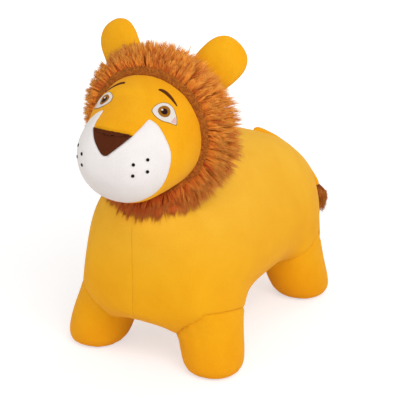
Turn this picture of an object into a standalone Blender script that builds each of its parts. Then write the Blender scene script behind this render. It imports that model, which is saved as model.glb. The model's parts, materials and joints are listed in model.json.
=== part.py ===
"""Inflatable hopping lion: an air bladder in a sewn plush cover, stood on four stub legs.

The lion faces -Y, its left side is +X, and the ground is z = 0 under the middle of its length.
All lengths are in metres. Names that end in share or shares hold parts of a named length.
"""
import math

import bmesh
import bpy
from mathutils import Matrix, Vector
from mathutils.bvhtree import BVHTree

for old_object in list(bpy.data.objects):
    bpy.data.objects.remove(old_object, do_unlink=True)

# Body, from the chest to the rump
CHEST_TO_FEET = 0.216
RUMP_TO_FEET = 0.254
BACK_HEIGHT = 0.309
BELLY_HEIGHT = 0.081
BODY_HALF_WIDTH = 0.134
CAP_BULGE = 0.012

# Legs, of which the feet stand wider than the hips
FOOT_HALF_TRACK = 0.1155
FOOT_HALF_BASE = 0.168
FOOT_SPLAY_OUT = 0.0215
FOOT_SPLAY_ALONG = 0.021
LEG_RADIUS = 0.054
FOOT_RADIUS = 0.049
SOLE_RADIUS = 0.040
FLAT_CUT = 0.0005
SEAM_HEIGHT = 0.094
SEAM_TILT = math.radians(22)
SOLE_HEIGHT = 0.010

# Neck and head
NECK_HALF_WIDTH = 0.080
NECK_HALF_DEPTH = 0.036
NECK_SETBACK = 0.020
NECK_RISE = 0.042
RING_SETBACK = 0.046
RING_HEIGHT = 0.4065
HEAD_RADIUS = 0.094
HEAD_BACK = 0.085
FACE_DEPTH = 0.143

# Mane, a ring of long pile sewn between the face and the back of the head
MANE_BAND = 0.030
MANE_PILE = 0.048
MANE_CROWN_SHARE = 0.72
MANE_SWEEP = 0.062

# Ears, which are also the handles
EAR_WIDTH = 0.079
EAR_THICKNESS = 0.037
EAR_LENGTH = 0.110
EAR_SPREAD = math.radians(40.5)
EAR_BACK = math.radians(22)
EAR_SEAT_BACK = math.radians(24)
EAR_SWING = math.radians(10)
EAR_ROOM = 0.0005
EAR_SLIT = 0.008

# Tail
TAIL_RADIUS = 0.0062
TAIL_TO_RUMP = 0.052
TAIL_SIDEWAYS = math.radians(38)
TAIL_REACH = 0.0237
TUFT_RADIUS = 0.014
TUFT_LENGTH = 0.046
TUFT_TURN = math.radians(78)
TUFT_AWAY = 0.0200

# Cover, bladder and the clearance between any two pieces
COVER = 0.0025
WALL = 0.0012
GAP = 0.0003
FELT = 0.0008
NOSE_PROUD = 0.0015

# Face details
EYE_SIZE = 0.036
EYE_OUT = 0.053
EYE_AHEAD = 0.049
EYE_UP = 0.054
IRIS_RADIUS = 0.0098
PUPIL_RADIUS = 0.0053
BROW_OUT = 0.056
BROW_AHEAD = 0.036
BROW_UP = 0.070
BROW_THICKNESS = 0.0042
WHISKER_RADIUS = 0.0027
PATCH_REACH = 0.012

# Belly panel with its zip
PANEL_HALF_WIDTH = 0.030
PANEL_MARGIN = 0.009
SLOT_HALF_WIDTH = 0.013
TAPE_THICKNESS = 0.0008
TEETH_HALF_WIDTH = 0.0025
TEETH_SPINE = 0.0012
TEETH_THICKNESS = 0.0020
TEETH_PITCH = 0.0066
STOP_LENGTH = 0.0022
SLIDER_LENGTH = 0.012
SLIDER_HALF_WIDTH = 0.0055
SLIDER_PLATE = 0.0014
BAR_HALF = 0.0007
BAR_DROP = 0.0028
POST_WIDTH = 0.0012
POST_HALF_GAP = 0.0024
EYELET_RADIUS = 0.0022
TAB_HALF_WIDTH = 0.0040
TAB_THICKNESS = 0.0012
TAB_LENGTH = 0.024

# Valve and its plug
VALVE_RADIUS = 0.0095
VALVE_BORE = 0.0065
VALVE_FLANGE = 0.0160
VALVE_FLANGE_THICKNESS = 0.0015
VALVE_DEPTH = 0.012
VALVE_HOLE = 0.013
PLUG_RADIUS = 0.0058
PLUG_HEAD = 0.0100
PLUG_HEAD_THICKNESS = 0.0024
PLUG_LENGTH = 0.011

# Counts of sides
HEAD_SIDES = 22
MANE_STEPS = 22
EAR_SIDES = 12
TUBE_SIDES = 10
TURNED_SIDES = 20

# Places that follow from the sizes above
BODY_LENGTH = CHEST_TO_FEET + RUMP_TO_FEET
MUZZLE_REACH = FACE_DEPTH + NOSE_PROUD - RING_SETBACK
CHEST_Y = (MUZZLE_REACH - BODY_LENGTH - TAIL_REACH) / 2
RUMP_Y = CHEST_Y + BODY_LENGTH
RING_Y = CHEST_Y + RING_SETBACK
FEET_Y = RUMP_Y - RUMP_TO_FEET
NECK_HEIGHT = BACK_HEIGHT + NECK_RISE
RING_CENTRE = Vector((0, RING_Y, RING_HEIGHT))
LARGE = 2 * BODY_LENGTH

# Rows of the body from chest to rump: place along the length, width, top, bottom and narrower shoulders
ROW_SHARES = (
    (-0.025, 0.66, 0.88, 0.06, 0.87),
    (0.030, 0.88, 1.01, -0.05, 0.92),
    (0.150, 0.97, 1.03, 0.00, 0.97),
    (0.270, 1.00, 1.02, 0.00, 1.00),
    (0.470, 1.00, 1.01, 0.00, 1.00),
    (0.690, 1.00, 1.01, 0.00, 1.00),
    (0.820, 0.99, 0.96, 0.00, 1.00),
    (0.925, 0.88, 0.85, 0.01, 1.00),
    (1.015, 0.62, 0.68, 0.19, 1.00),
)
# Corners of one half section: out from the middle, and up from the belly to the back
CORNER_SHARES = (
    (0.00, 1.00), (0.50, 0.99), (0.90, 0.80), (1.05, 0.48), (1.07, 0.16), (0.66, 0.00), (0.33, 0.00),
    (0.00, 0.00),
)
SHOULDER_CORNERS = (2, 3)
# Rings of one leg: height as a share of the seam's, radius of its own size, and lean with the leg
LEG_LEVELS = (
    (0.62 * SEAM_HEIGHT, 1.10 * LEG_RADIUS, 0.5),
    (0.18 * SEAM_HEIGHT, 1.20 * FOOT_RADIUS, 0.2),
    (-FLAT_CUT, 1.20 * SOLE_RADIUS, 0.0),
)
# Stations of the head: along its back or its face, half width, bottom and top
HEAD_SHARES = (
    (0.88, 0.45, -0.45, 0.45),
    (0.65, 0.70, -0.70, 0.70),
    (0.30, 0.93, -0.93, 0.92),
    (0.00, 1.00, -1.00, 0.97),
    (-0.25, 0.98, -1.00, 0.86),
    (-0.35, 0.95, -1.00, 0.74),
    (-0.47, 0.90, -1.00, 0.66),
    (-0.60, 0.85, -0.99, 0.58),
    (-0.74, 0.77, -0.92, 0.50),
    (-0.84, 0.66, -0.81, 0.39),
    (-0.92, 0.51, -0.64, 0.25),
    (-0.98, 0.31, -0.45, 0.05),
)
CAP_LIFT_SHARE = 0.4
BODY_FACES_SHARE = 0.54
HEAD_POLE_SHARE = -0.19
BALL_DEPTH_SHARE = 0.55
CONE_SHARES = (0.55, 2.1)
FILLING_START_SHARE = 0.32
# One section of the mane, at the sides and as the beard below: behind the seam, and out from the head
MANE_SHARES = (
    (0.005, -0.40), (-0.10, 0.16), (-0.02, 0.74), (0.22, 1.08), (0.62, 1.07), (0.73, 0.72), (0.62, 0.25),
    (0.485, -0.40),
)
BEARD_SHARES = (
    (0.005, -0.40), (-0.78, 0.06), (-1.02, 0.45), (-0.98, 0.92), (-0.72, 1.02), (-0.30, 0.80), (0.30, 0.35),
    (0.485, -0.40),
)
# Left half of the muzzle's edge seen from the ring's middle, as shares of the head's radius
MUZZLE_SHARES = (
    (0.38, 1.22, 0.36), (0.46, 1.06, 0.50), (0.51, 0.93, 0.60), (0.58, 0.90, 0.58), (0.68, 0.86, 0.48),
    (0.79, 0.84, 0.29), (0.87, 0.80, 0.00), (0.84, 0.84, -0.30), (0.71, 0.90, -0.58), (0.50, 0.98, -0.76),
    (0.28, 1.04, -0.87), (0.00, 1.06, -0.92),
)
# Left half of the nose's edge in the same shares, from the tip to the top corner
NOSE_SHARES = ((0.00, 1.42, 0.02), (0.05, 1.42, 0.04), (0.38, 1.22, 0.36))
WHISKER_SHARES = ((0.47, 1.33, -0.06), (0.65, 1.20, 0.00), (0.46, 1.33, -0.24), (0.65, 1.21, -0.19))
EYE_SHARES = (
    (-0.51, 0.04), (-0.42, 0.23), (-0.23, 0.37), (0.00, 0.41), (0.23, 0.33), (0.41, 0.12), (0.48, -0.19),
    (0.48, -0.46), (0.42, -0.60), (0.16, -0.52), (-0.16, -0.43), (-0.39, -0.23),
)
BROW_SHARES = ((-0.18, 0.72), (-0.08, 0.66), (0.05, 0.48), (0.18, 0.14), (0.29, -0.28))
BROW_WIDTH_SHARES = (0.5, 1.0, 1.0, 0.8, 0.3)
# Rings of one ear: degrees up from the bottom of its round root, then shares of its length
EAR_ROOT_ANGLES = (8, 24, 40, 56, 72, 88)
EAR_LEVELS = (0.10, 0.35, 0.55, 0.72, 0.86, 0.96)
# The tail's places round the rump, in degrees, and their distance from it in radii of the tail
TAIL_SHARES = ((14, 1.25), (24, 1.25), (35, 1.25), (46, 1.35), (56, 1.8), (64, 2.6))
# The tuft along its length, and its radius there
TUFT_SHARES = ((0.0, 0.55), (0.12, 0.85), (0.32, 1.0), (0.55, 0.92), (0.78, 0.60), (0.94, 0.25), (1.0, 0.06))


def material(name, colour, roughness=0.9, metallic=0.0):
    """Return a material with the given colour, roughness and metallic value."""
    made = bpy.data.materials.new(name)
    made.use_nodes = True
    made.diffuse_color = (*colour, 1.0)
    shader = made.node_tree.nodes["Principled BSDF"]
    shader.inputs["Base Color"].default_value = (*colour, 1.0)
    shader.inputs["Roughness"].default_value = roughness
    shader.inputs["Metallic"].default_value = metallic
    return made


YELLOW = material("yellow_plush", (0.91, 0.43, 0.02))
WHITE = material("white_plush", (0.88, 0.84, 0.83))
BROWN = material("brown_fur", (0.42, 0.13, 0.02))
NOSE_BROWN = material("brown_satin", (0.10, 0.015, 0.006), 0.6)
THREAD = material("dark_thread", (0.020, 0.006, 0.005), 0.6)
AMBER = material("amber_thread", (0.47, 0.22, 0.02), 0.5)
FIBRE = material("white_fibre", (0.80, 0.80, 0.78))
VINYL = material("grey_vinyl", (0.45, 0.47, 0.50), 0.35)
PLASTIC = material("black_plastic", (0.03, 0.03, 0.03), 0.4)
TAPE = material("yellow_tape", (0.75, 0.36, 0.03), 0.8)
METAL = material("nickel", (0.60, 0.58, 0.55), 0.3, 1.0)


def add_mesh(name, points, faces):
    """Return an object made of the given points and faces, with its faces pointing out."""
    mesh = bpy.data.meshes.new(name)
    mesh.from_pydata(points, [], faces)
    shape = bmesh.new()
    shape.from_mesh(mesh)
    bmesh.ops.recalc_face_normals(shape, faces=shape.faces)
    shape.to_mesh(mesh)
    shape.free()
    made = bpy.data.objects.new(name, mesh)
    bpy.context.scene.collection.objects.link(made)
    return made


def settle(item):
    """Turn what the modifiers of an object make into its mesh."""
    depsgraph = bpy.context.evaluated_depsgraph_get()
    mesh = bpy.data.meshes.new_from_object(item.evaluated_get(depsgraph))
    item.modifiers.clear()
    item.data = mesh
    return item


def carve(item, others, operation="DIFFERENCE"):
    """Cut an object by others, or join them, or keep what they share."""
    for other in others:
        step = item.modifiers.new(operation.lower(), "BOOLEAN")
        step.operation = operation
        step.object = other
    return settle(item)


def copy_of(item, name):
    """Return a copy of an object with a mesh of its own."""
    made = bpy.data.objects.new(name, item.data.copy())
    bpy.context.scene.collection.objects.link(made)
    return made


def keep_side(item, place, direction):
    """Keep the part of a solid object that lies behind a plane, and close the cut."""
    shape = bmesh.new()
    shape.from_mesh(item.data)
    everything = shape.verts[:] + shape.edges[:] + shape.faces[:]
    cut = bmesh.ops.bisect_plane(
        shape, geom=everything, dist=0, plane_co=place, plane_no=direction, clear_outer=True,
    )
    rim = [part for part in cut["geom_cut"] if isinstance(part, bmesh.types.BMEdge)]
    bmesh.ops.holes_fill(shape, edges=rim, sides=0)
    bmesh.ops.triangulate(shape, faces=shape.faces)
    shape.to_mesh(item.data)
    shape.free()
    return item


def keep_largest(item):
    """Keep the largest of the separate bodies that a cut has left in an object."""
    shape = bmesh.new()
    shape.from_mesh(item.data)
    left = set(shape.verts)
    groups = []
    while left:
        group = {left.pop()}
        edge_of_group = list(group)
        while edge_of_group:
            vertex = edge_of_group.pop()
            for link in vertex.link_edges:
                other = link.other_vert(vertex)
                if other in left:
                    left.remove(other)
                    group.add(other)
                    edge_of_group.append(other)
        groups.append(group)
    groups.sort(key=len)
    for group in groups[:-1]:
        bmesh.ops.delete(shape, geom=list(group), context="VERTS")
    shape.to_mesh(item.data)
    shape.free()
    return item


def finish(item, finish_material, smooth=True):
    """Give an object its material and shading."""
    item.data.materials.clear()
    item.data.materials.append(finish_material)
    if smooth:
        item.data.shade_smooth()
        item.data.set_sharp_from_angle(angle=math.radians(35))
    return item


def set_origin(item, place):
    """Move the origin of an object to a place, with its shape left where it is."""
    item.data.transform(Matrix.Translation(-place))
    item.location = place
    return item


def signed_power(value, power):
    """Return the value raised to a power, with its sign kept."""
    return math.copysign(abs(value) ** power, value)


def upright_ring(y, middle_z, half_width, half_height, power, sides):
    """Return the points of a superellipse in the plane of one y."""
    points = []
    for step in range(sides):
        angle = math.tau * (step + 0.5) / sides
        x = half_width * signed_power(math.cos(angle), 2 / power)
        z = half_height * signed_power(math.sin(angle), 2 / power)
        points.append(Vector((x, y, middle_z + z)))
    return points


def level_ring(middle, half_width, half_depth, sides):
    """Return the points of an ellipse in a level plane."""
    points = []
    for step in range(sides):
        angle = math.tau * (step + 0.5) / sides
        points.append(middle + Vector((half_width * math.cos(angle), half_depth * math.sin(angle), 0)))
    return points


def loft(name, rings, closed=False, start_pole=None, end_pole=None):
    """Return an object that joins rings of equal size, closed by poles, flat ends or into a loop."""
    sides = len(rings[0])
    points = [point for ring in rings for point in ring]
    faces = []
    for row in range(len(rings) if closed else len(rings) - 1):
        low, high = row * sides, (row + 1) % len(rings) * sides
        for side in range(sides):
            after = (side + 1) % sides
            faces.append((low + side, low + after, high + after, high + side))
    if closed:
        return add_mesh(name, points, faces)
    for first, pole in ((0, start_pole), ((len(rings) - 1) * sides, end_pole)):
        if pole is None:
            faces.append(tuple(range(first, first + sides)))
            continue
        points.append(pole)
        faces += [(first + side, first + (side + 1) % sides, len(points) - 1) for side in range(sides)]
    return add_mesh(name, points, faces)


def extruded(name, outline, low, high):
    """Return a prism over an outline in the XY plane, between two heights."""
    rings = [[Vector((x, y, height)) for x, y in outline] for height in (low, high)]
    return loft(name, rings)


def box(name, low, high):
    """Return a box between two opposite corners."""
    outline = ((low[0], low[1]), (high[0], low[1]), (high[0], high[1]), (low[0], high[1]))
    return extruded(name, outline, low[2], high[2])


def disc(radius, sides=TURNED_SIDES):
    """Return the outline of a circle around zero."""
    return [(point.x, point.y) for point in level_ring(Vector(), radius, radius, sides)]


def turned(name, profile, middle, closed=True):
    """Return a body turned about a vertical line, from a closed profile or one between two discs."""
    rings = [level_ring(middle + Vector((0, 0, z)), radius, radius, TURNED_SIDES) for radius, z in profile]
    return loft(name, rings, closed)


def tube(name, points, radii):
    """Return a tube of varying radius along points, with flat ends."""
    rings = []
    spin = None
    for index, point in enumerate(points):
        ahead = points[min(index + 1, len(points) - 1)]
        behind = points[max(index - 1, 0)]
        direction = (ahead - behind).normalized()
        if spin is None:
            spin = direction.to_track_quat("Z", "Y").to_matrix()
            facing = direction
        spin = facing.rotation_difference(direction).to_matrix() @ spin
        facing = direction
        circle = level_ring(Vector(), radii[index], radii[index], TUBE_SIDES)
        rings.append([point + spin @ corner for corner in circle])
    return loft(name, rings)


def triangulated(item):
    """Split every face of an object into triangles."""
    shape = bmesh.new()
    shape.from_mesh(item.data)
    bmesh.ops.triangulate(shape, faces=shape.faces)
    shape.to_mesh(item.data)
    shape.free()
    return item


def layer(form, inset, floor=None):
    """Return a copy of a form with its surface moved inwards, and cut flat at a floor height."""
    made = copy_of(form, form.name + "_layer")
    shape = bmesh.new()
    shape.from_mesh(made.data)
    shape.normal_update()
    moves = [vertex.normal * vertex.calc_shell_factor() * inset for vertex in shape.verts]
    for vertex, move in zip(shape.verts, moves):
        vertex.co -= move
    shape.to_mesh(made.data)
    shape.free()
    if floor is not None:
        keep_side(made, Vector((0, 0, floor)), Vector((0, 0, -1)))
    return made


def surface_tree(item):
    """Return a search tree over the faces of an object."""
    points = [vertex.co for vertex in item.data.vertices]
    return BVHTree.FromPolygons(points, [tuple(face.vertices) for face in item.data.polygons])


def body_cage():
    """Return the points and faces of the low cage that the body is smoothed from."""
    points = []
    index = {}
    for row, (along, wide, top, bottom, shoulder) in enumerate(ROW_SHARES):
        y = CHEST_Y + BODY_LENGTH * along
        high = BACK_HEIGHT * top
        low = BELLY_HEIGHT + (BACK_HEIGHT - BELLY_HEIGHT) * bottom
        for corner, (out, up) in enumerate(CORNER_SHARES):
            half = out * wide * BODY_HALF_WIDTH * (shoulder if corner in SHOULDER_CORNERS else 1)
            for side in (-1, 1):
                if out == 0 and side < 0:
                    continue
                index[row, corner, side] = len(points)
                points.append(Vector((side * half, y, low + (high - low) * up)))
        index[row, 0, -1] = index[row, 0, 1]
        index[row, 7, -1] = index[row, 7, 1]
    faces = []
    for row in range(8):
        for corner in range(7):
            if corner in (4, 5) and row in (1, 2, 5, 6):
                continue
            if corner == 0 and row in (0, 1, 2):
                continue
            for side in (-1, 1):
                face = [index[row, corner, side], index[row, corner + 1, side],
                        index[row + 1, corner + 1, side], index[row + 1, corner, side]]
                faces.append(face[::side])
    for row, end in ((0, -1), (8, 1)):
        add_cap_cage(points, faces, index, row, end)
    for side in (-1, 1):
        for first, end in ((1, -1), (5, 1)):
            add_leg_cage(points, faces, index, side, end, first)
    add_neck_cage(points, faces, index)
    return points, faces


def add_cap_cage(points, faces, index, row, end):
    """Close the cage at the chest or the rump, with the middle standing out."""
    middles = []
    for corner in range(1, 6):
        level = points[index[row, corner, 1]]
        if corner == 5:
            level = level.lerp(points[index[row, 4, 1]], CAP_LIFT_SHARE)
        middles.append(len(points))
        points.append(Vector((0, points[index[row, 0, 1]].y + end * CAP_BULGE, level.z)))
    for side in (-1, 1):
        for corner in range(1, 5):
            outer = [index[row, corner, side], index[row, corner + 1, side]]
            faces.append([*outer, middles[corner], middles[corner - 1]])
        faces.append([index[row, 5, side], index[row, 6, side], index[row, 7, 1], middles[4]])
    faces.append([index[row, 0, 1], index[row, 1, -1], middles[0], index[row, 1, 1]])


def add_leg_cage(points, faces, index, side, end, first):
    """Extend the cage by one leg, from its hole in the underside down to the sole."""
    rim = [(0, 4), (0, 5), (0, 6), (1, 6), (2, 6), (2, 5), (2, 4), (1, 4)]
    upper = [index[first + row, corner, side] for row, corner in rim]
    splay = Vector((side * FOOT_SPLAY_OUT, end * FOOT_SPLAY_ALONG, 0))
    foot = Vector((side * FOOT_HALF_TRACK, FEET_Y + end * FOOT_HALF_BASE, 0))
    for height, radius, lean in LEG_LEVELS:
        middle = foot - splay * (height / SEAM_HEIGHT)
        middle.z = height
        ring = []
        for row, corner in rim:
            direction = Vector((side * (5 - corner), row - 1, 0)).normalized()
            point = middle + direction * radius
            point.z += lean * direction.dot(splay.normalized()) * splay.length / SEAM_HEIGHT * radius
            ring.append(len(points))
            points.append(point)
        for place in range(8):
            after = (place + 1) % 8
            faces.append([upper[place], upper[after], ring[after], ring[place]])
        upper = ring
    centre = len(points)
    points.append(middle)
    for place in (0, 2, 4, 6):
        faces.append([upper[place], upper[place + 1], centre, upper[place - 1]])


def add_neck_cage(points, faces, index):
    """Extend the cage by the neck, from its hole in the shoulders up into the head."""
    rim = [(0, 0, 1), (0, 1, 1), (1, 1, 1), (2, 1, 1), (3, 1, 1),
           (3, 0, 1), (3, 1, -1), (2, 1, -1), (1, 1, -1), (0, 1, -1)]
    upper = [index[key] for key in rim]
    for height in (BACK_HEIGHT + NECK_RISE / 2, NECK_HEIGHT):
        ring = []
        for place in range(10):
            angle = math.tau * place / 10 - math.pi / 2
            ring.append(len(points))
            x = NECK_HALF_WIDTH * math.cos(angle)
            y = RING_Y + NECK_SETBACK + NECK_HALF_DEPTH * math.sin(angle)
            points.append(Vector((x, y, height)))
        for place in range(10):
            after = (place + 1) % 10
            faces.append([upper[place], upper[after], ring[after], ring[place]])
        upper = ring
    inner = []
    for place in (2, 3):
        inner.append(len(points))
        points.append(Vector((0, points[upper[place]].y, NECK_HEIGHT)))
    faces.append([upper[0], upper[1], upper[2], inner[0]])
    faces.append([upper[0], inner[0], upper[8], upper[9]])
    faces.append([upper[2], upper[3], inner[1], inner[0]])
    faces.append([inner[0], inner[1], upper[7], upper[8]])
    faces.append([upper[3], upper[4], upper[5], inner[1]])
    faces.append([inner[1], upper[5], upper[6], upper[7]])


def body_form():
    """Return the smooth outer form of the body, its legs and its neck, thinned out above its flat belly."""
    made = add_mesh("body_form", *body_cage())
    smooth = made.modifiers.new("smooth", "SUBSURF")
    smooth.levels = 1
    smooth.render_levels = 1
    settle(made)
    above = [vertex.index for vertex in made.data.vertices if abs(vertex.co.z - BELLY_HEIGHT) > COVER]
    made.vertex_groups.new(name="above").add(above, 1, "REPLACE")
    thin = made.modifiers.new("thin", "DECIMATE")
    thin.vertex_group = "above"
    thin.ratio = BODY_FACES_SHARE
    thin.use_symmetry = True
    thin.symmetry_axis = "X"
    return triangulated(settle(made))


def head_form(depth_share=1.0):
    """Return the outer form of the head, with its face drawn back to a share of its depth."""
    rings = []
    for along, wide, low, high in HEAD_SHARES:
        y = RING_Y + along * (HEAD_BACK if along > 0 else FACE_DEPTH * depth_share)
        middle_z = RING_HEIGHT + HEAD_RADIUS * (high + low) / 2
        half_height = HEAD_RADIUS * (high - low) / 2
        rings.append(upright_ring(y, middle_z, HEAD_RADIUS * wide, half_height, 2.1, HEAD_SIDES))
    back = RING_CENTRE + Vector((0, HEAD_BACK, 0))
    front = RING_CENTRE + Vector((0, -FACE_DEPTH * depth_share, HEAD_RADIUS * HEAD_POLE_SHARE))
    return triangulated(loft("head_form", rings, start_pole=back, end_pole=front))


BODY = body_form()
HEAD = head_form()
BALL = head_form(BALL_DEPTH_SHARE)
BODY_OUTSIDE = layer(BODY, 0, 0)
BODY_INSIDE = layer(BODY, COVER, COVER)
BODY_AROUND = layer(BODY, -GAP)
HEAD_INSIDE = layer(HEAD, COVER)
HEAD_AROUND = layer(HEAD, -GAP)
HEAD_TREE = surface_tree(HEAD)
BODY_TREE = surface_tree(BODY)

SIDES = (("left", 1), ("right", -1))
ENDS = (("front", -1), ("rear", 1))
LEGS = tuple((end_name + "_" + side_name, side, end) for end_name, end in ENDS for side_name, side in SIDES)


def leg_block(side, end, spare):
    """Return a round block that holds one leg up to its tilted seam, larger by a spare width."""
    splay = Vector((side * FOOT_SPLAY_OUT, end * FOOT_SPLAY_ALONG, 0))
    outward = splay.normalized()
    across = outward.cross(Vector((0, 0, 1)))
    turn = Matrix.Rotation(SEAM_TILT, 3, across)
    foot = Vector((side * FOOT_HALF_TRACK, FEET_Y + end * FOOT_HALF_BASE, 0))
    hip = foot - splay + Vector((0, 0, SEAM_HEIGHT))
    radius = 1.15 * LEG_RADIUS + spare
    rings = []
    for height in (spare, -2 * SEAM_HEIGHT):
        circle = level_ring(Vector((0, 0, height)), radius, radius, TURNED_SIDES)
        rings.append([hip + turn @ corner for corner in circle])
    return loft("leg_block", rings)


def quadrant(side, end, low, high):
    """Return a box around one quarter of the floor plan, between two heights."""
    xs = sorted((0, side * LARGE))
    ys = sorted((FEET_Y, FEET_Y + end * LARGE))
    return box("quadrant", (xs[0], ys[0], low), (xs[1], ys[1], high))


def panel_span():
    """Return where the belly panel starts and ends along the body."""
    start = CHEST_Y + BODY_LENGTH * (ROW_SHARES[3][0] + 0.015)
    end = CHEST_Y + BODY_LENGTH * (ROW_SHARES[5][0] - 0.015)
    return start, end


def belly_room(height):
    """Return a block around the belly panel that reaches a height above its underside."""
    start, end = panel_span()
    wide = PANEL_HALF_WIDTH + GAP
    return box("belly_room", (-wide, start - GAP, 0), (wide, end + GAP, BELLY_HEIGHT + height))


def make_body_cover():
    """Make the two side panels, the leg sleeves and the soles out of the body's shell."""
    shell = carve(copy_of(BODY_OUTSIDE, "shell"), [BODY_INSIDE])
    room = belly_room(2 * COVER)
    for side_name, side in SIDES:
        xs = sorted((side * GAP / 2, side * LARGE))
        half = box("half", (xs[0], -LARGE, -LARGE), (xs[1], LARGE, LARGE))
        panel = carve(copy_of(shell, "side_panel_" + side_name), [half], "INTERSECT")
        blocks = [leg_block(side, leg_end, GAP) for leg_end in (-1, 1)]
        carve(panel, [HEAD_AROUND, room, *blocks])
        finish(keep_largest(panel), YELLOW)
    for leg_name, side, leg_end in LEGS:
        sleeve = carve(copy_of(shell, "leg_sleeve_" + leg_name), [leg_block(side, leg_end, 0)], "INTERSECT")
        carve(sleeve, [quadrant(side, leg_end, -LARGE, SOLE_HEIGHT + GAP)])
        finish(keep_largest(sleeve), YELLOW)
        below = quadrant(side, leg_end, -LARGE, SOLE_HEIGHT)
        sole = carve(copy_of(shell, "sole_" + leg_name), [below], "INTERSECT")
        finish(sole, YELLOW)


def make_head_cover():
    """Make the face, muzzle, nose and back of the head out of the head's shell."""
    shell = carve(copy_of(HEAD, "shell"), [HEAD_INSIDE, BODY_INSIDE])
    muzzle_edge = muzzle_outline()
    nose_edge = nose_outline()
    back = copy_of(shell, "head_panel")
    carve(back, [box("ahead", (-LARGE, -LARGE, -LARGE), (LARGE, RING_Y + MANE_BAND + GAP, LARGE))])
    finish(keep_largest(back), YELLOW)
    face = copy_of(shell, "face_panel")
    carve(face, [box("behind", (-LARGE, RING_Y, -LARGE), (LARGE, LARGE, LARGE)), cone(muzzle_edge, GAP)])
    finish(keep_largest(face), YELLOW)
    muzzle = carve(copy_of(shell, "muzzle_panel"), [cone(muzzle_edge, 0)], "INTERSECT")
    finish(keep_largest(carve(muzzle, [cone(nose_edge, GAP)])), WHITE)
    nose = carve(cone(nose_edge, 0), [layer(HEAD, -NOSE_PROUD)], "INTERSECT")
    carve(nose, [HEAD_INSIDE])
    nose.name = "nose"
    finish(nose, NOSE_BROWN)


def muzzle_outline():
    """Return the muzzle's edge, from the nose's left corner round to its right one."""
    left = [head_place(shares) for shares in MUZZLE_SHARES]
    right = [Vector((-place.x, place.y, place.z)) for place in reversed(left[:-1])]
    return left + right


def nose_outline():
    """Return the nose's edge, from its tip up its right side and down its left one."""
    left = [head_place(shares) for shares in NOSE_SHARES]
    right = [Vector((-place.x, place.y, place.z)) for place in reversed(left[1:])]
    return left + right


def head_place(shares):
    """Return a place ahead of the ring's middle, from shares of the head's radius."""
    out, ahead, up = shares
    return Vector((out, -ahead, up)) * HEAD_RADIUS


def cone(outline, spare):
    """Return a block with sides that run out from the ring's middle through an outline."""
    count = len(outline)
    centre = sum(outline, Vector()) / count
    area = sum((outline[i - 1].cross(outline[i]) for i in range(count)), Vector())
    turn = 1 if area.dot(centre) > 0 else -1
    edge = []
    for i, place in enumerate(outline):
        out = place.normalized()
        before = ((place - outline[i - 1]).cross(out) * turn).normalized()
        after = ((outline[(i + 1) % count] - place).cross(out) * turn).normalized()
        edge.append(place + (before + after) / (1 + before.dot(after)) * spare)
    rings = [[RING_CENTRE + place * share for place in edge] for share in CONE_SHARES]
    return loft("cone", rings)


def surface_frame(out, ahead, up):
    """Return the frame on the head's surface, seen from the ring's middle, with Z pointing out."""
    direction = Vector((out, -ahead, up)).normalized()
    place, normal, _, _ = HEAD_TREE.ray_cast(RING_CENTRE, direction)
    across = Vector((0, 0, 1)).cross(normal).normalized()
    turn = Matrix((across, normal.cross(across), normal)).transposed().to_4x4()
    return Matrix.Translation(place) @ turn


def patch_block(frame, outline):
    """Return a block over an outline that is drawn in a frame on the head."""
    made = extruded("patch_block", outline, -PATCH_REACH, PATCH_REACH)
    made.data.transform(frame)
    return made


def patch(name, block, holes, finish_material, under, over):
    """Make a thin patch on the head where a block passes through it."""
    made = carve(copy_of(block, name), [over], "INTERSECT")
    carve(made, [under, *holes])
    return finish(made, finish_material)


def make_face_details():
    """Make the eyes, brows and whisker dots, each a patch of felt or thread on the face."""
    under = layer(HEAD, -GAP)
    over = layer(HEAD, -GAP - FELT)
    for side_name, side in SIDES:
        frame = surface_frame(side * EYE_OUT, EYE_AHEAD, EYE_UP)
        eye = patch_block(frame, [(side * u * EYE_SIZE, v * EYE_SIZE) for u, v in EYE_SHARES])
        iris_hole = patch_block(frame, disc(IRIS_RADIUS + GAP))
        pupil_hole = patch_block(frame, disc(PUPIL_RADIUS + GAP))
        patch("eye_white_" + side_name, eye, [iris_hole], WHITE, under, over)
        patch("iris_" + side_name, patch_block(frame, disc(IRIS_RADIUS)), [pupil_hole], AMBER, under, over)
        patch("pupil_" + side_name, patch_block(frame, disc(PUPIL_RADIUS)), [], THREAD, under, over)
        frame = surface_frame(side * BROW_OUT, BROW_AHEAD, BROW_UP)
        patch("brow_" + side_name, patch_block(frame, brow_outline(side)), [], NOSE_BROWN, under, over)
        for number, (out, ahead, up) in enumerate(WHISKER_SHARES, 1):
            dot = patch_block(surface_frame(side * out, ahead, up), disc(WHISKER_RADIUS, 12))
            patch("whisker_dot_%s_%d" % (side_name, number), dot, [], THREAD, under, over)


def brow_outline(side):
    """Return the outline of one brow, a bent band with thin ends."""
    upper, lower = [], []
    for (u, v), width in zip(BROW_SHARES, BROW_WIDTH_SHARES):
        half = BROW_THICKNESS * width / 2
        upper.append((side * (u * EYE_SIZE + half / 2), v * EYE_SIZE + half))
        lower.append((side * (u * EYE_SIZE - half / 2), v * EYE_SIZE - half))
    return upper + lower[::-1]


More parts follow.
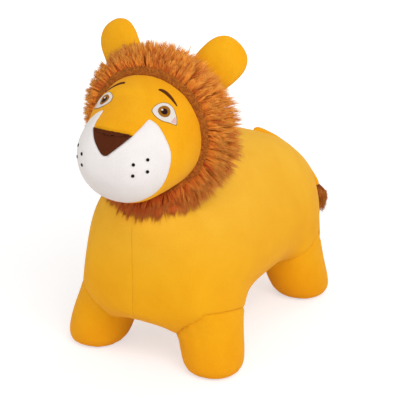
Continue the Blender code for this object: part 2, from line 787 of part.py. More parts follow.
def make_mane(ear_blocks):
    """Make the mane, cut by the head that it is sewn to, the body below it and the ears."""
    rings = []
    for step in range(MANE_STEPS):
        angle = math.tau * (step + 0.5) / MANE_STEPS
        drop = max(0, -math.sin(angle)) ** 3
        pile = MANE_PILE * (1 - (1 - MANE_CROWN_SHARE) * max(0, math.sin(angle)) ** 2)
        ring = []
        for (back, out), (beard_back, beard_out) in zip(MANE_SHARES, BEARD_SHARES):
            along = MANE_SWEEP * (back + (beard_back - back) * drop)
            radius = HEAD_RADIUS + pile * (out + (beard_out - out) * drop)
            ring.append(RING_CENTRE + Vector((radius * math.cos(angle), along, radius * math.sin(angle))))
        rings.append(ring)
    made = loft("mane", rings, closed=True)
    face_side = keep_side(copy_of(HEAD_AROUND, "face_side"), Vector((0, RING_Y + GAP, 0)), Vector((0, 1, 0)))
    seam = Vector((0, RING_Y + MANE_BAND, 0))
    back_side = keep_side(copy_of(HEAD_AROUND, "back_side"), seam, Vector((0, -1, 0)))
    carve(made, [HEAD_INSIDE, face_side, back_side, BODY_AROUND, *ear_blocks])
    finish(keep_largest(made), BROWN)


def ear_frame(side):
    """Return the frame of one ear, with its hinge line along X and the ear along Z."""
    out = Vector((side * math.sin(EAR_SPREAD), 0, math.cos(EAR_SPREAD)))
    normal = out * math.cos(EAR_SEAT_BACK) + Vector((0, math.sin(EAR_SEAT_BACK), 0))
    reach = max((vertex.co - RING_CENTRE).dot(normal) for vertex in HEAD.data.vertices)
    place = RING_CENTRE + normal * (reach + EAR_THICKNESS / 2 + GAP)
    turn = Matrix.Rotation(side * EAR_SPREAD, 4, "Y") @ Matrix.Rotation(-EAR_BACK, 4, "X")
    return Matrix.Translation(place) @ turn


def ear_form(name, inset, spread=0.0):
    """Return an ear along Z with a round root on its hinge line, inset or spread by its swing."""
    rings = []
    root = EAR_THICKNESS / 2 - inset
    length = EAR_LENGTH - EAR_THICKNESS / 2 - inset
    room = EAR_THICKNESS / 4 * math.sin(spread) - inset
    for angle in EAR_ROOT_ANGLES:
        turn = math.radians(angle)
        wide = (0.36 + 0.04 * math.sin(turn)) * EAR_WIDTH
        rings.append((wide + room, root * math.sin(turn), -root * math.cos(turn)))
    if spread:
        rings.append((0.40 * EAR_WIDTH + room, math.hypot(root, EAR_LEVELS[0] * length), 0))
    for share in EAR_LEVELS:
        if share < 0.5:
            swell = 0.80 + 0.20 * math.sin(math.pi * share)
        else:
            swell = (1 - ((share - 0.5) / 0.5) ** 2.5) ** 0.4
        along = length * share
        thick = EAR_THICKNESS / 2 * (1 if share < 0.5 else swell) - inset
        deep = thick / math.cos(spread) + along * math.tan(spread)
        rings.append((EAR_WIDTH / 2 * swell + room, deep, along))
    levels = [level_ring(Vector((0, 0, along)), wide, thick, EAR_SIDES) for wide, thick, along in rings]
    return triangulated(loft(name, levels))


def make_ears():
    """Make both ears, each a cover with an open root around its filling, and return their swing room."""
    blocks = []
    for side_name, side in SIDES:
        frame = ear_frame(side)
        filling = ear_form("ear_filling_" + side_name, COVER + GAP)
        cover = ear_form("ear_cover_" + side_name, 0)
        inside = ear_form("inside", COVER)
        slit = box(
            "slit", (-EAR_WIDTH / 4, -EAR_SLIT / 2, -EAR_THICKNESS), (EAR_WIDTH / 4, EAR_SLIT / 2, 0),
        )
        carve(cover, [inside, slit])
        for item, finish_material in ((filling, FIBRE), (cover, YELLOW)):
            item.matrix_world = frame
            finish(item, finish_material)
        for swing in (-EAR_SWING, 0, EAR_SWING):
            block = ear_form("ear_block", -EAR_ROOM, 0 if swing else EAR_SWING)
            block.data.transform(frame @ Matrix.Rotation(swing, 4, "X"))
            blocks.append(block)
    return blocks


def make_bladder():
    """Make the hollow air bladder, the filling in front of it, and the valve with its plug."""
    outer = carve(layer(BODY, COVER + GAP, COVER + GAP), [layer(BALL, COVER + GAP)], "UNION")
    depth = COVER + GAP + WALL
    inner = carve(layer(BODY, depth, depth), [layer(BALL, depth)], "UNION")
    _, end = panel_span()
    seat = Vector((0, end - PANEL_MARGIN - VALVE_HOLE, BELLY_HEIGHT))
    bore = VALVE_RADIUS + GAP
    hole = turned("hole", ((bore, -COVER), (bore, VALVE_DEPTH)), seat, closed=False)
    outer.name = "bladder"
    finish(keep_largest(carve(outer, [inner, hole, belly_room(COVER + GAP)])), VINYL)
    low = COVER - 2 * FELT
    top = depth + VALVE_DEPTH
    flange = depth + GAP
    profile = (
        (VALVE_BORE, low), (VALVE_RADIUS, low), (VALVE_RADIUS, flange), (VALVE_FLANGE, flange),
        (VALVE_FLANGE, flange + VALVE_FLANGE_THICKNESS), (VALVE_RADIUS, flange + VALVE_FLANGE_THICKNESS),
        (VALVE_RADIUS, top), (VALVE_BORE, top),
    )
    finish(turned("valve_body", profile, seat), PLASTIC)
    bottom = low - GAP - PLUG_HEAD_THICKNESS
    profile = (
        (PLUG_HEAD, bottom), (PLUG_HEAD, low - GAP),
        (PLUG_RADIUS, low - GAP), (PLUG_RADIUS, low + PLUG_LENGTH),
    )
    plug = turned("air_plug", profile, seat, closed=False)
    finish(set_origin(plug, seat), PLASTIC)
    filling = layer(HEAD, COVER + GAP)
    keep_side(filling, Vector((0, RING_Y - FACE_DEPTH * FILLING_START_SHARE, 0)), Vector((0, 1, 0)))
    carve(filling, [layer(BALL, COVER), BODY_INSIDE])
    filling.name = "muzzle_filling"
    finish(keep_largest(filling), FIBRE)


def make_belly():
    """Make the belly panel, the zip in its slot, and the hole for the valve."""
    start, end = panel_span()
    valve_y = end - PANEL_MARGIN - VALVE_HOLE
    zip_start = start + PANEL_MARGIN
    zip_end = valve_y - VALVE_HOLE - PANEL_MARGIN
    panel = box(
        "belly_panel", (-PANEL_HALF_WIDTH, start, BELLY_HEIGHT),
        (PANEL_HALF_WIDTH, end, BELLY_HEIGHT + COVER),
    )
    slot = box(
        "slot", (-SLOT_HALF_WIDTH, zip_start, 0), (SLOT_HALF_WIDTH, zip_end, BELLY_HEIGHT + 2 * COVER),
    )
    profile = ((VALVE_HOLE, 0), (VALVE_HOLE, BELLY_HEIGHT + 2 * COVER))
    hole = turned("hole", profile, Vector((0, valve_y, 0)), closed=False)
    finish(carve(panel, [slot, hole]), YELLOW, smooth=False)
    make_zip(zip_start + GAP, zip_end - GAP)


def make_zip(start, end):
    """Make the tapes, teeth, stops, slider and pull tab of the zip."""
    middle = BELLY_HEIGHT + COVER / 2
    teeth_start = start + STOP_LENGTH + GAP
    count = int((end - STOP_LENGTH - GAP - teeth_start) / TEETH_PITCH)
    teeth_end = teeth_start + count * TEETH_PITCH
    for side_name, side in SIDES:
        xs = sorted((side * (TEETH_HALF_WIDTH + GAP), side * (SLOT_HALF_WIDTH - GAP)))
        tape = box(
            "zip_tape_" + side_name, (xs[0], start, middle - TAPE_THICKNESS / 2),
            (xs[1], end, middle + TAPE_THICKNESS / 2),
        )
        finish(tape, TAPE, smooth=False)
        outline = teeth_outline(side, teeth_start, count)
        low = middle - TEETH_THICKNESS / 2
        teeth = extruded("zip_teeth_" + side_name, outline, low, low + TEETH_THICKNESS)
        finish(teeth, METAL, smooth=False)
    for end_name, y in (("front", start), ("rear", teeth_end + GAP)):
        stop = box(
            "zip_stop_" + end_name, (-TEETH_HALF_WIDTH, y, middle - TEETH_THICKNESS / 2),
            (TEETH_HALF_WIDTH, y + STOP_LENGTH, middle + TEETH_THICKNESS / 2),
        )
        finish(stop, METAL, smooth=False)
    make_slider(teeth_start, middle - TEETH_THICKNESS / 2 - GAP)


def teeth_outline(side, start, count):
    """Return the outline of one row of teeth: a straight back, and teeth that mesh with the other row."""
    inner = TEETH_HALF_WIDTH - TEETH_SPINE
    tooth = TEETH_PITCH / 2 - GAP
    offset = GAP / 2 if side > 0 else TEETH_PITCH / 2 + GAP / 2
    outline = [(side * TEETH_HALF_WIDTH, start), (side * TEETH_HALF_WIDTH, start + count * TEETH_PITCH)]
    outline.append((side * inner, start + count * TEETH_PITCH))
    for number in reversed(range(count)):
        low = start + number * TEETH_PITCH + offset
        high = low + tooth
        for x, y in ((inner, high), (GAP - inner, high), (GAP - inner, low), (inner, low)):
            outline.append((side * x, y))
    outline.append((side * inner, start))
    return [place for i, place in enumerate(outline) if math.dist(place, outline[i - 1]) > GAP / 4]


def make_slider(start, top):
    """Make the slider below the teeth, with the crossbar that holds its pull tab."""
    middle = start + SLIDER_LENGTH / 2
    plate_low = top - SLIDER_PLATE
    bar = plate_low - BAR_DROP
    slider = box(
        "zip_slider", (-SLIDER_HALF_WIDTH, start, plate_low),
        (SLIDER_HALF_WIDTH, start + SLIDER_LENGTH, top),
    )
    joined = []
    for _, side in SIDES:
        xs = sorted((side * POST_HALF_GAP, side * (POST_HALF_GAP + POST_WIDTH)))
        joined.append(box(
            "post", (xs[0], middle - POST_WIDTH, bar - BAR_HALF),
            (xs[1], middle + POST_WIDTH, plate_low + GAP),
        ))
    reach = POST_HALF_GAP + POST_WIDTH / 2
    joined.append(box(
        "bar", (-reach, middle - BAR_HALF, bar - BAR_HALF), (reach, middle + BAR_HALF, bar + BAR_HALF),
    ))
    carve(slider, joined, "UNION")
    pivot = Vector((0, middle, bar))
    finish(set_origin(slider, pivot), METAL, smooth=False)
    half = POST_HALF_GAP - GAP
    ring = extruded("zip_pull_tab", disc(EYELET_RADIUS, 16), -half, half)
    bore = extruded("bore", disc(BAR_HALF * math.sqrt(2) + GAP, 16), -2 * half, 2 * half)
    for item in (ring, bore):
        item.data.transform(Matrix.Rotation(math.pi / 2, 4, "Y"))
    plate = box(
        "plate", (-TAB_HALF_WIDTH, -TAB_THICKNESS / 2, -TAB_LENGTH),
        (TAB_HALF_WIDTH, TAB_THICKNESS / 2, -EYELET_RADIUS - 2 * GAP),
    )
    stem = box(
        "stem", (-half, -TAB_THICKNESS / 2, -EYELET_RADIUS - 4 * GAP),
        (half, TAB_THICKNESS / 2, GAP - EYELET_RADIUS),
    )
    carve(ring, [plate, stem], "UNION")
    carve(ring, [bore])
    ring.location = pivot
    finish(ring, METAL, smooth=False)


def tail_root():
    """Return where the tail is sewn to the back, and the way out of the surface there."""
    y = RUMP_Y - TAIL_TO_RUMP
    places = []
    for step in (-TAIL_RADIUS, 0, TAIL_RADIUS):
        places.append(BODY_TREE.ray_cast(Vector((0, y + step, LARGE)), Vector((0, 0, -1)))[0])
    slope = places[2] - places[0]
    normal = Vector((0, -slope.z, slope.y)).normalized()
    near = [vertex.co for vertex in BODY.data.vertices if (vertex.co - places[1]).length < 3 * TAIL_RADIUS]
    lift = max([0] + [(place - places[1]).dot(normal) for place in near])
    return places[1] + normal * (lift + GAP), normal


def make_tail():
    """Make the tail, a tube that leaves the back and lies over the rump, and its tuft beside the body."""
    root, normal = tail_root()
    backward = Vector((1, 0, 0)).cross(normal) * -1
    outward = (backward * math.cos(TAIL_SIDEWAYS) + Vector((math.sin(TAIL_SIDEWAYS), 0, 0))).normalized()
    inside = root - normal * (BACK_HEIGHT - BELLY_HEIGHT) / 2

    def beside_body(angle, away):
        """Return the place at an angle round the rump and a distance away from its surface."""
        direction = normal * math.cos(angle) + outward * math.sin(angle)
        place, facing, _, _ = BODY_TREE.ray_cast(inside, direction)
        return place + facing * away

    points = [root, root + normal * TAIL_RADIUS]
    points += [beside_body(math.radians(angle), TAIL_RADIUS * away) for angle, away in TAIL_SHARES]
    direction = (beside_body(TUFT_TURN, TUFT_AWAY) - points[-1]).normalized()
    end = points[-1] + direction * TAIL_RADIUS
    points.append(end)
    tail = tube("tail_tube", points, [TAIL_RADIUS] * len(points))
    finish(set_origin(tail, root), YELLOW)
    places = [end + direction * (GAP + TUFT_LENGTH * share) for share, _ in TUFT_SHARES]
    tuft = tube("tail_tuft", places, [TUFT_RADIUS * share for _, share in TUFT_SHARES])
    finish(set_origin(tuft, root), BROWN)


def remove_helpers(kept):
    """Remove the forms and blocks that the pieces were cut with."""
    for item in list(bpy.data.objects):
        if item.name not in kept:
            bpy.data.objects.remove(item, do_unlink=True)


make_body_cover()
make_head_cover()
make_face_details()
make_mane(make_ears())
make_bladder()
make_belly()
make_tail()
remove_helpers({item.name for item in bpy.data.objects if item.data.materials})
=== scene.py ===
"""Looks of an inflatable hopping lion in a sewn plush cover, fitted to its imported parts."""
import json
import logging
import math
from contextlib import contextmanager
from dataclasses import dataclass
from enum import Enum
from typing import Any, Callable, Iterable, Iterator, Optional, Sequence

import bmesh
import bpy
import numpy as np
from mathutils import Matrix, Vector, noise
from mathutils.bvhtree import BVHTree
from mathutils.kdtree import KDTree


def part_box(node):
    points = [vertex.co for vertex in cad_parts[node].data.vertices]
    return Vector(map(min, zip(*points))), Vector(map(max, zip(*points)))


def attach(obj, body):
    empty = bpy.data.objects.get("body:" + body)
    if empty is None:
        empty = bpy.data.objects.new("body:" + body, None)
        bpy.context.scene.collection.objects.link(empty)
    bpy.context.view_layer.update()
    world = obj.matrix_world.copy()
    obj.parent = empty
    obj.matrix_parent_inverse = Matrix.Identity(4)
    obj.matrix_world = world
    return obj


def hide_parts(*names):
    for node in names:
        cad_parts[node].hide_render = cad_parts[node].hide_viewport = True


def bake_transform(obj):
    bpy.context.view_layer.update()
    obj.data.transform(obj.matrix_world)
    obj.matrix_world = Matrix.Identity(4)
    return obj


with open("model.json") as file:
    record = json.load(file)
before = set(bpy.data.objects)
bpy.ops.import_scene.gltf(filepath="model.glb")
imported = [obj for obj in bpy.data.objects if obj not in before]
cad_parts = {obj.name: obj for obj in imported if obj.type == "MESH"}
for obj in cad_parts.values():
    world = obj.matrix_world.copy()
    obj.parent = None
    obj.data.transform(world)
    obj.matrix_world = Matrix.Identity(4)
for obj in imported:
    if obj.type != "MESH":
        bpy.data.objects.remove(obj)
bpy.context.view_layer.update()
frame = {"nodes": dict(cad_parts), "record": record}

LOG = logging.getLogger("lion")
Colour = tuple[float, float, float]
Shares = Sequence[Sequence[float]]

# The room between neighbouring pieces, and the thickness of the cover with its pile.
GAP = 0.0003
COVER = 0.0025
# A height above the whole lion, from which rays are cast down.
ABOVE_ALL = 1.0
# How far the cuts beside a seam lie from it, and how far a panel's edge stays from the seam's own line.
SEAM_CUT = 0.0012
EDGE_ROOM = 0.00015
# Points nearer than these to each other, or to a cut, count as one.
WELD = 0.00002
FINE_CUT = 0.0001
# Added to a length that is divided by, which could be zero.
TINY = 1e-9
# How many points a strand's centre line has.
STRAND_POINTS = 5


class Side(Enum):
    """The lion's own left and right."""

    LEFT = 1
    RIGHT = -1

    @property
    def word(self) -> str:
        """Return the side's name as the pieces have it."""
        return self.name.lower()


class End(Enum):
    """The chest's end of the body and the rump's."""

    FRONT = -1
    REAR = 1

    @property
    def word(self) -> str:
        """Return the end's name as the pieces have it."""
        return self.name.lower()


class Value:
    """One output socket of a shader node, with the arithmetic of numbers."""

    def __init__(self, shader: "Shader", socket: bpy.types.NodeSocket) -> None:
        """Keep the socket and the shader that it belongs to."""
        self.shader = shader
        self.socket = socket

    def _pair(self, operation: str, first: Any, second: Any) -> "Value":
        """Return a Math node's value for two numbers or sockets."""
        return self.shader.add("ShaderNodeMath", {"operation": operation}, {0: first, 1: second})

    def __add__(self, other: Any) -> "Value":
        """Return the sum."""
        return self._pair("ADD", self, other)

    def __radd__(self, other: Any) -> "Value":
        """Return the sum, with the number first."""
        return self._pair("ADD", other, self)

    def __sub__(self, other: Any) -> "Value":
        """Return the difference."""
        return self._pair("SUBTRACT", self, other)

    def __rsub__(self, other: Any) -> "Value":
        """Return the difference, with the number first."""
        return self._pair("SUBTRACT", other, self)

    def __mul__(self, other: Any) -> "Value":
        """Return the product."""
        return self._pair("MULTIPLY", self, other)

    def __rmul__(self, other: Any) -> "Value":
        """Return the product, with the number first."""
        return self._pair("MULTIPLY", other, self)

    def __pow__(self, other: Any) -> "Value":
        """Return the power."""
        return self._pair("POWER", self, other)


class Shader:
    """A material under construction: its node tree and its one surface."""

    def __init__(self, name: str, **constants: Any) -> None:
        """Make a material.

        Args:
            name: The material's name.
            constants: Sockets of the surface with one value all over, with _ for a space.
        """
        self.material = bpy.data.materials.new(name)
        self.material.use_nodes = True
        self.tree = self.material.node_tree
        self.surface = self.tree.nodes["Principled BSDF"]
        for key, value in constants.items():
            self.feed(self.surface.inputs[key.replace("_", " ")], value)

    def feed(self, socket: bpy.types.NodeSocket, value: Any) -> None:
        """Link a socket to a value, or set it.

        Args:
            socket: The socket.
            value: A value of another node, or a number, colour or vector.
        """
        if isinstance(value, Value):
            self.tree.links.new(value.socket, socket)
        elif isinstance(value, tuple) and len(value) == 3 and socket.type == "RGBA":
            socket.default_value = (*value, 1.0)
        else:
            socket.default_value = value

    def add(self, kind: str, settings: Optional[dict] = None, sockets: Optional[dict] = None,
            output: Any = 0) -> Value:
        """Add a node.

        Args:
            kind: The node's type.
            settings: Its properties, set first; stops are a ramp's places and colours.
            sockets: Values or links of its inputs, by name or number.
            output: The output that is returned.

        Returns:
            The chosen output.
        """
        node = self.tree.nodes.new(kind)
        for key, value in (settings or {}).items():
            if key == "stops":
                elements = node.color_ramp.elements
                while len(elements) < len(value):
                    elements.new(1.0)
                for element, (place, colour) in zip(elements, value):
                    element.position = place
                    element.color = (*colour, 1.0)
            else:
                setattr(node, key, value)
        for key, value in (sockets or {}).items():
            self.feed(node.inputs[key], value)
        return Value(self, node.outputs[output])

    def place(self) -> Value:
        """Return the place on the object, in metres."""
        return self.add("ShaderNodeTexCoord", output="Object")

    def noise(self, place: Value, scale: float, detail: float = 2.0, distortion: float = 0.0) -> Value:
        """Return noise from 0 to 1 at a place, with a scale in features for each metre."""
        sockets = {"Vector": place, "Scale": scale, "Detail": detail, "Distortion": distortion}
        return self.add("ShaderNodeTexNoise", {"normalize": True}, sockets)

    def ramp(self, factor: Value, *stops: tuple[float, Colour]) -> Value:
        """Return a colour that runs through stops as the factor grows."""
        return self.add("ShaderNodeValToRGB", {"stops": stops}, {"Fac": factor})

    def mix(self, factor: Any, first: Any, second: Any, way: str = "MIX") -> Value:
        """Return two colours mixed by a factor."""
        settings = {"data_type": "RGBA", "blend_type": way}
        return self.add("ShaderNodeMix", settings, {0: factor, 6: first, 7: second}, 2)

    def bump(self, height: Value, depth: float, strength: float = 1.0) -> Value:
        """Return the normal of a surface raised by a height from 0 to 1, times a depth in metres."""
        sockets = {"Height": height, "Distance": depth, "Strength": strength}
        return self.add("ShaderNodeBump", sockets=sockets, output="Normal")

    def done(self, **links: Value) -> bpy.types.Material:
        """Feed the surface and return the material.

        Args:
            links: Values for sockets of the surface, with _ for a space in a name.
        """
        for key, value in links.items():
            self.feed(self.surface.inputs[key.replace("_", " ")], value)
        return self.material


@dataclass(frozen=True)
class Plush:
    """Short cut pile of one colour: fine fibres, patches of brushed nap and a soft sheen, with painted shade
    by height where a ramp of heights is given.
    """

    name: str
    colour: Colour
    shade: Colour
    light: Colour
    sheen: float = 0.12
    # Painted shade: colour factors on a ramp over twice the height in metres; none if empty.
    painted_shade_by_height: tuple[tuple[float, Colour], ...] = ()

    def make(self) -> bpy.types.Material:
        """Return the material.

        Returns:
            The material, ready for use.
        """
        shader = Shader(
            self.name, Roughness=0.93, Sheen_Weight=self.sheen, Sheen_Roughness=0.45,
            Sheen_Tint=(1.0, 0.80, 0.45), Specular_IOR_Level=0.06,
        )
        place = shader.place()
        nap = shader.noise(place, 17.0, 4.0, 0.6)
        tufts = shader.noise(place, 520.0, 3.0)
        fibres = shader.noise(place, 1900.0, 2.0)
        tone = shader.ramp(nap * 0.40 + tufts * 0.36 + fibres * 0.24,
                           (0.38, self.shade), (0.50, self.colour), (0.64, self.light))
        # Painted shade: the colour is multiplied by a ramp over the height, darker lower down.
        if self.painted_shade_by_height:
            parts = shader.add("ShaderNodeSeparateXYZ", sockets={0: place}, output="Z")
            tone = shader.mix(1.0, tone, shader.ramp(parts * 2.0, *self.painted_shade_by_height), "MULTIPLY")
        height = tufts * 0.6 + fibres * 0.4
        return shader.done(Base_Color=tone, Normal=shader.bump(height, 0.0007, 0.55))


@dataclass(frozen=True)
class LongPile:
    """Strands of long pile, shaded from root to tip along their own map."""

    name: str
    stops: tuple[tuple[float, Colour], ...]
    spread: tuple[Colour, Colour, Colour] = ((0.74, 0.33, 0.40), (0.98, 0.94, 0.96), (1.25, 1.32, 1.20))

    def make(self) -> bpy.types.Material:
        """Return the material.

        Returns:
            The material, ready for use.
        """
        shader = Shader(self.name, Roughness=0.75, Specular_IOR_Level=0.15)
        strand = shader.add("ShaderNodeUVMap", {"uv_map": "OFBake"})
        parts = shader.add("ShaderNodeSeparateXYZ", sockets={0: strand})
        across = Value(shader, parts.socket.node.outputs[0])
        along = Value(shader, parts.socket.node.outputs[1])
        length = shader.ramp(along, *self.stops)
        stops = tuple(zip((0.12, 0.5, 0.9), self.spread))
        each = shader.ramp(across, *stops)
        tone = shader.mix(1.0, length, each, "MULTIPLY")
        return shader.done(Base_Color=tone)


@dataclass(frozen=True)
class Backing:
    """The dense dark undercoat between the strands."""

    name: str
    dark: Colour
    mid: Colour

    def make(self) -> bpy.types.Material:
        """Return the material.

        Returns:
            The material, ready for use.
        """
        shader = Shader(self.name, Roughness=0.95, Specular_IOR_Level=0.1)
        place = shader.place()
        streak = shader.noise(place, 260.0, 4.0, 1.2)
        tone = shader.ramp(streak, (0.35, self.dark), (0.7, self.mid))
        return shader.done(Base_Color=tone, Normal=shader.bump(streak, 0.003))


@dataclass(frozen=True)
class Thread:
    """Satin stitch: close parallel threads, laid at an angle across a patch's own map."""

    name: str
    colour: Colour
    dark: Colour
    angle: float = 0.6
    pitch: float = 0.00075

    def make(self) -> bpy.types.Material:
        """Return the material.

        Returns:
            The material, ready for use.
        """
        shader = Shader(self.name, Roughness=0.7, Specular_IOR_Level=0.10)
        patch = shader.add("ShaderNodeUVMap", {"uv_map": "UVMap"})
        turn = shader.add("ShaderNodeMapping", sockets={"Vector": patch, "Rotation": (0.0, 0.0, self.angle)})
        waves = {"Vector": turn, "Scale": 0.314 / self.pitch, "Distortion": 0.6, "Detail": 1.0}
        rows = shader.add("ShaderNodeTexWave", {"bands_direction": "X"}, waves, 1)
        tone = shader.mix(rows, self.dark, self.colour)
        return shader.done(Base_Color=tone, Normal=shader.bump(rows, 0.0003, 0.6))


@dataclass(frozen=True)
class Fibre:
    """Loose white filling."""

    name: str
    colour: Colour

    def make(self) -> bpy.types.Material:
        """Return the material.

        Returns:
            The material, ready for use.
        """
        shader = Shader(self.name, Roughness=0.95)
        lumps = shader.noise(shader.place(), 140.0, 5.0, 1.5)
        tone = shader.ramp(lumps, (0.3, tuple(part * 0.82 for part in self.colour)), (0.7, self.colour))
        return shader.done(Base_Color=tone, Normal=shader.bump(lumps, 0.004))


@dataclass(frozen=True)
class Moulded:
    """Moulded plastic or calendered vinyl with a fine grain and scuffs."""

    name: str
    colour: Colour
    roughness: float
    grain: float = 900.0

    def make(self) -> bpy.types.Material:
        """Return the material.

        Returns:
            The material, ready for use.
        """
        shader = Shader(self.name)
        place = shader.place()
        grain = shader.noise(place, self.grain, 2.0)
        scuffs = shader.noise(place, 60.0, 4.0, 0.8)
        tone = shader.ramp(scuffs, (0.3, tuple(part * 0.88 for part in self.colour)), (0.7, self.colour))
        rough = self.roughness + (scuffs - 0.5) * 0.25
        return shader.done(Base_Color=tone, Roughness=rough, Normal=shader.bump(grain, 0.0002, 0.35))


@dataclass(frozen=True)
class Plated:
    """Nickel plating with fine brushing and duller rubbed places."""

    name: str
    colour: Colour

    def make(self) -> bpy.types.Material:
        """Return the material.

        Returns:
            The material, ready for use.
        """
        shader = Shader(self.name, Metallic=1.0)
        place = shader.place()
        stretch = shader.add("ShaderNodeMapping", sockets={"Vector": place, "Scale": (1.0, 14.0, 1.0)})
        lines = shader.noise(stretch, 700.0, 3.0)
        rubbed = shader.noise(place, 240.0, 3.0)
        tone = shader.ramp(rubbed, (0.3, tuple(part * 0.8 for part in self.colour)), (0.7, self.colour))
        return shader.done(Base_Color=tone, Roughness=0.22 + rubbed * 0.22,
                           Normal=shader.bump(lines, 0.00005, 0.5))


@dataclass(frozen=True)
class Woven:
    """Herringbone tape, woven in ribs."""

    name: str
    colour: Colour

    def make(self) -> bpy.types.Material:
        """Return the material.

        Returns:
            The material, ready for use.
        """
        shader = Shader(self.name, Roughness=0.8, Sheen_Weight=0.1)
        place = shader.place()
        sockets = {"Vector": place, "Scale": 420.0, "Distortion": 2.0, "Detail": 1.0}
        ribs = shader.add("ShaderNodeTexWave", {"bands_direction": "DIAGONAL"}, sockets, 1)
        tone = shader.mix(ribs, tuple(part * 0.7 for part in self.colour), self.colour)
        return shader.done(Base_Color=tone, Normal=shader.bump(ribs, 0.0003))


class Finishes:
    """Every material of the lion, made once."""

    def __init__(self) -> None:
        """Make the materials."""
        self.yellow = Plush("golden_plush", (0.90, 0.405, 0.009), (0.86, 0.36, 0.006),
                            (0.93, 0.45, 0.016)).make()
        # Painted light and shade: a paler, lit copy of the golden plush for the body, deepened towards the
        # feet by a ramp over the height.
        self.body = Plush("golden_plush_body", (0.89, 0.475, 0.038), (0.86, 0.435, 0.028),
                          (0.92, 0.51, 0.048), 0.14,
                          ((0.0, (0.99, 0.74, 0.16)), (0.16, (1.0, 0.82, 0.20)), (0.36, (1.0, 0.88, 0.30)),
                           (0.60, (1.0, 1.0, 1.0)))).make()
        # Painted shade: the white plush darkens towards the muzzle's underside.
        self.white = Plush("white_plush", (0.89, 0.84, 0.82), (0.84, 0.79, 0.77), (0.92, 0.88, 0.86), 0.1,
                           ((0.62, (0.82, 0.78, 0.76)), (0.70, (0.93, 0.91, 0.90)),
                            (0.80, (1.0, 1.0, 1.0)))).make()
        self.nose = Plush("nose_velour", (0.098, 0.022, 0.007), (0.080, 0.017, 0.005), (0.120, 0.028, 0.010),
                          0.05).make()
        self.pile = LongPile("mane_pile", (
            (0.0, (0.32, 0.070, 0.018)), (0.22, (0.56, 0.145, 0.024)), (0.50, (0.82, 0.265, 0.036)),
            (0.80, (0.95, 0.38, 0.055)), (1.0, (0.98, 0.50, 0.100)))).make()
        self.tuft = LongPile("tuft_pile", (
            (0.0, (0.30, 0.085, 0.016)), (0.4, (0.50, 0.165, 0.024)), (1.0, (0.76, 0.32, 0.055)))).make()
        self.backing = Backing("mane_backing", (0.26, 0.070, 0.012), (0.60, 0.180, 0.020)).make()
        self.olive = Thread("olive_thread", (0.42, 0.21, 0.02), (0.28, 0.13, 0.012), 0.4).make()
        self.sclera = Thread("white_thread", (0.88, 0.82, 0.76), (0.76, 0.70, 0.64), 1.2).make()
        self.amber = Thread("amber_thread", (0.44, 0.17, 0.010), (0.26, 0.09, 0.006), 0.2).make()
        self.pupil = Thread("maroon_thread", (0.030, 0.006, 0.006), (0.012, 0.003, 0.003), 0.9).make()
        self.pink = Thread("pink_thread", (0.86, 0.55, 0.50), (0.74, 0.44, 0.40), 0.4).make()
        self.brow = Thread("brow_thread", (0.15, 0.036, 0.006), (0.09, 0.020, 0.004), 1.0).make()
        self.dot = Thread("dot_thread", (0.018, 0.008, 0.008), (0.008, 0.004, 0.004), 0.5).make()
        self.fibre = Fibre("white_fibre", (0.82, 0.82, 0.80)).make()
        self.vinyl = Moulded("grey_vinyl", (0.42, 0.45, 0.49), 0.38).make()
        self.plastic = Moulded("black_plastic", (0.022, 0.022, 0.024), 0.42).make()
        self.nickel = Plated("nickel_plating", (0.66, 0.63, 0.60)).make()
        self.tape = Woven("zip_tape", (0.72, 0.30, 0.02)).make()


def add_mesh(name: str, points: Iterable[Vector], faces: Iterable[Sequence[int]]) -> bpy.types.Object:
    """Return a new object with the given points and faces.

    Args:
        name: The object's name.
        points: Places in metres.
        faces: Numbers of the points round each face.

    Returns:
        The object, in the scene.
    """
    mesh = bpy.data.meshes.new(name)
    mesh.from_pydata([tuple(point) for point in points], [], [tuple(face) for face in faces])
    return add_object(name, mesh)


def add_object(name: str, mesh: bpy.types.Mesh) -> bpy.types.Object:
    """Return a new object around a mesh.

    Args:
        name: The object's name.
        mesh: Its mesh.

    Returns:
        The object, in the scene.
    """
    made = bpy.data.objects.new(name, mesh)
    bpy.context.scene.collection.objects.link(made)
    return made


def settle(item: bpy.types.Object) -> bpy.types.Object:
    """Turn what an object's modifiers make into its mesh.

    Args:
        item: The object.

    Returns:
        The same object.
    """
    mesh = bpy.data.meshes.new_from_object(item.evaluated_get(bpy.context.evaluated_depsgraph_get()))
    item.modifiers.clear()
    old = item.data
    item.data = mesh
    bpy.data.meshes.remove(old)
    return item


def thicken(item: bpy.types.Object, thickness: float = COVER) -> bpy.types.Object:
    """Give a surface a thickness behind it, so that it closes.

    Args:
        item: The surface.
        thickness: How thick it gets.

    Returns:
        The same object.
    """
    step = item.modifiers.new("thickness", "SOLIDIFY")
    step.thickness = thickness
    step.offset = -1
    step.use_even_offset = False
    return settle(item)


def smoothed(item: bpy.types.Object, levels: int) -> bpy.types.Object:
    """Subdivide an object's mesh into a smooth one.

    Args:
        item: The object.
        levels: How many times it is subdivided.

    Returns:
        The same object.
    """
    step = item.modifiers.new("smooth", "SUBSURF")
    step.levels = levels
    step.render_levels = levels
    return settle(item)


def dress(item: bpy.types.Object, material: bpy.types.Material) -> bpy.types.Object:
    """Give an object its material and smooth shading.

    Args:
        item: The object.
        material: Its finish.

    Returns:
        The same object.
    """
    item.data.materials.clear()
    item.data.materials.append(material)
    item.data.shade_smooth()
    item.data.set_sharp_from_angle(angle=math.radians(60))
    return item


def remove(*items: bpy.types.Object) -> None:
    """Remove objects that were only used to build others."""
    for item in items:
        bpy.data.objects.remove(item, do_unlink=True)


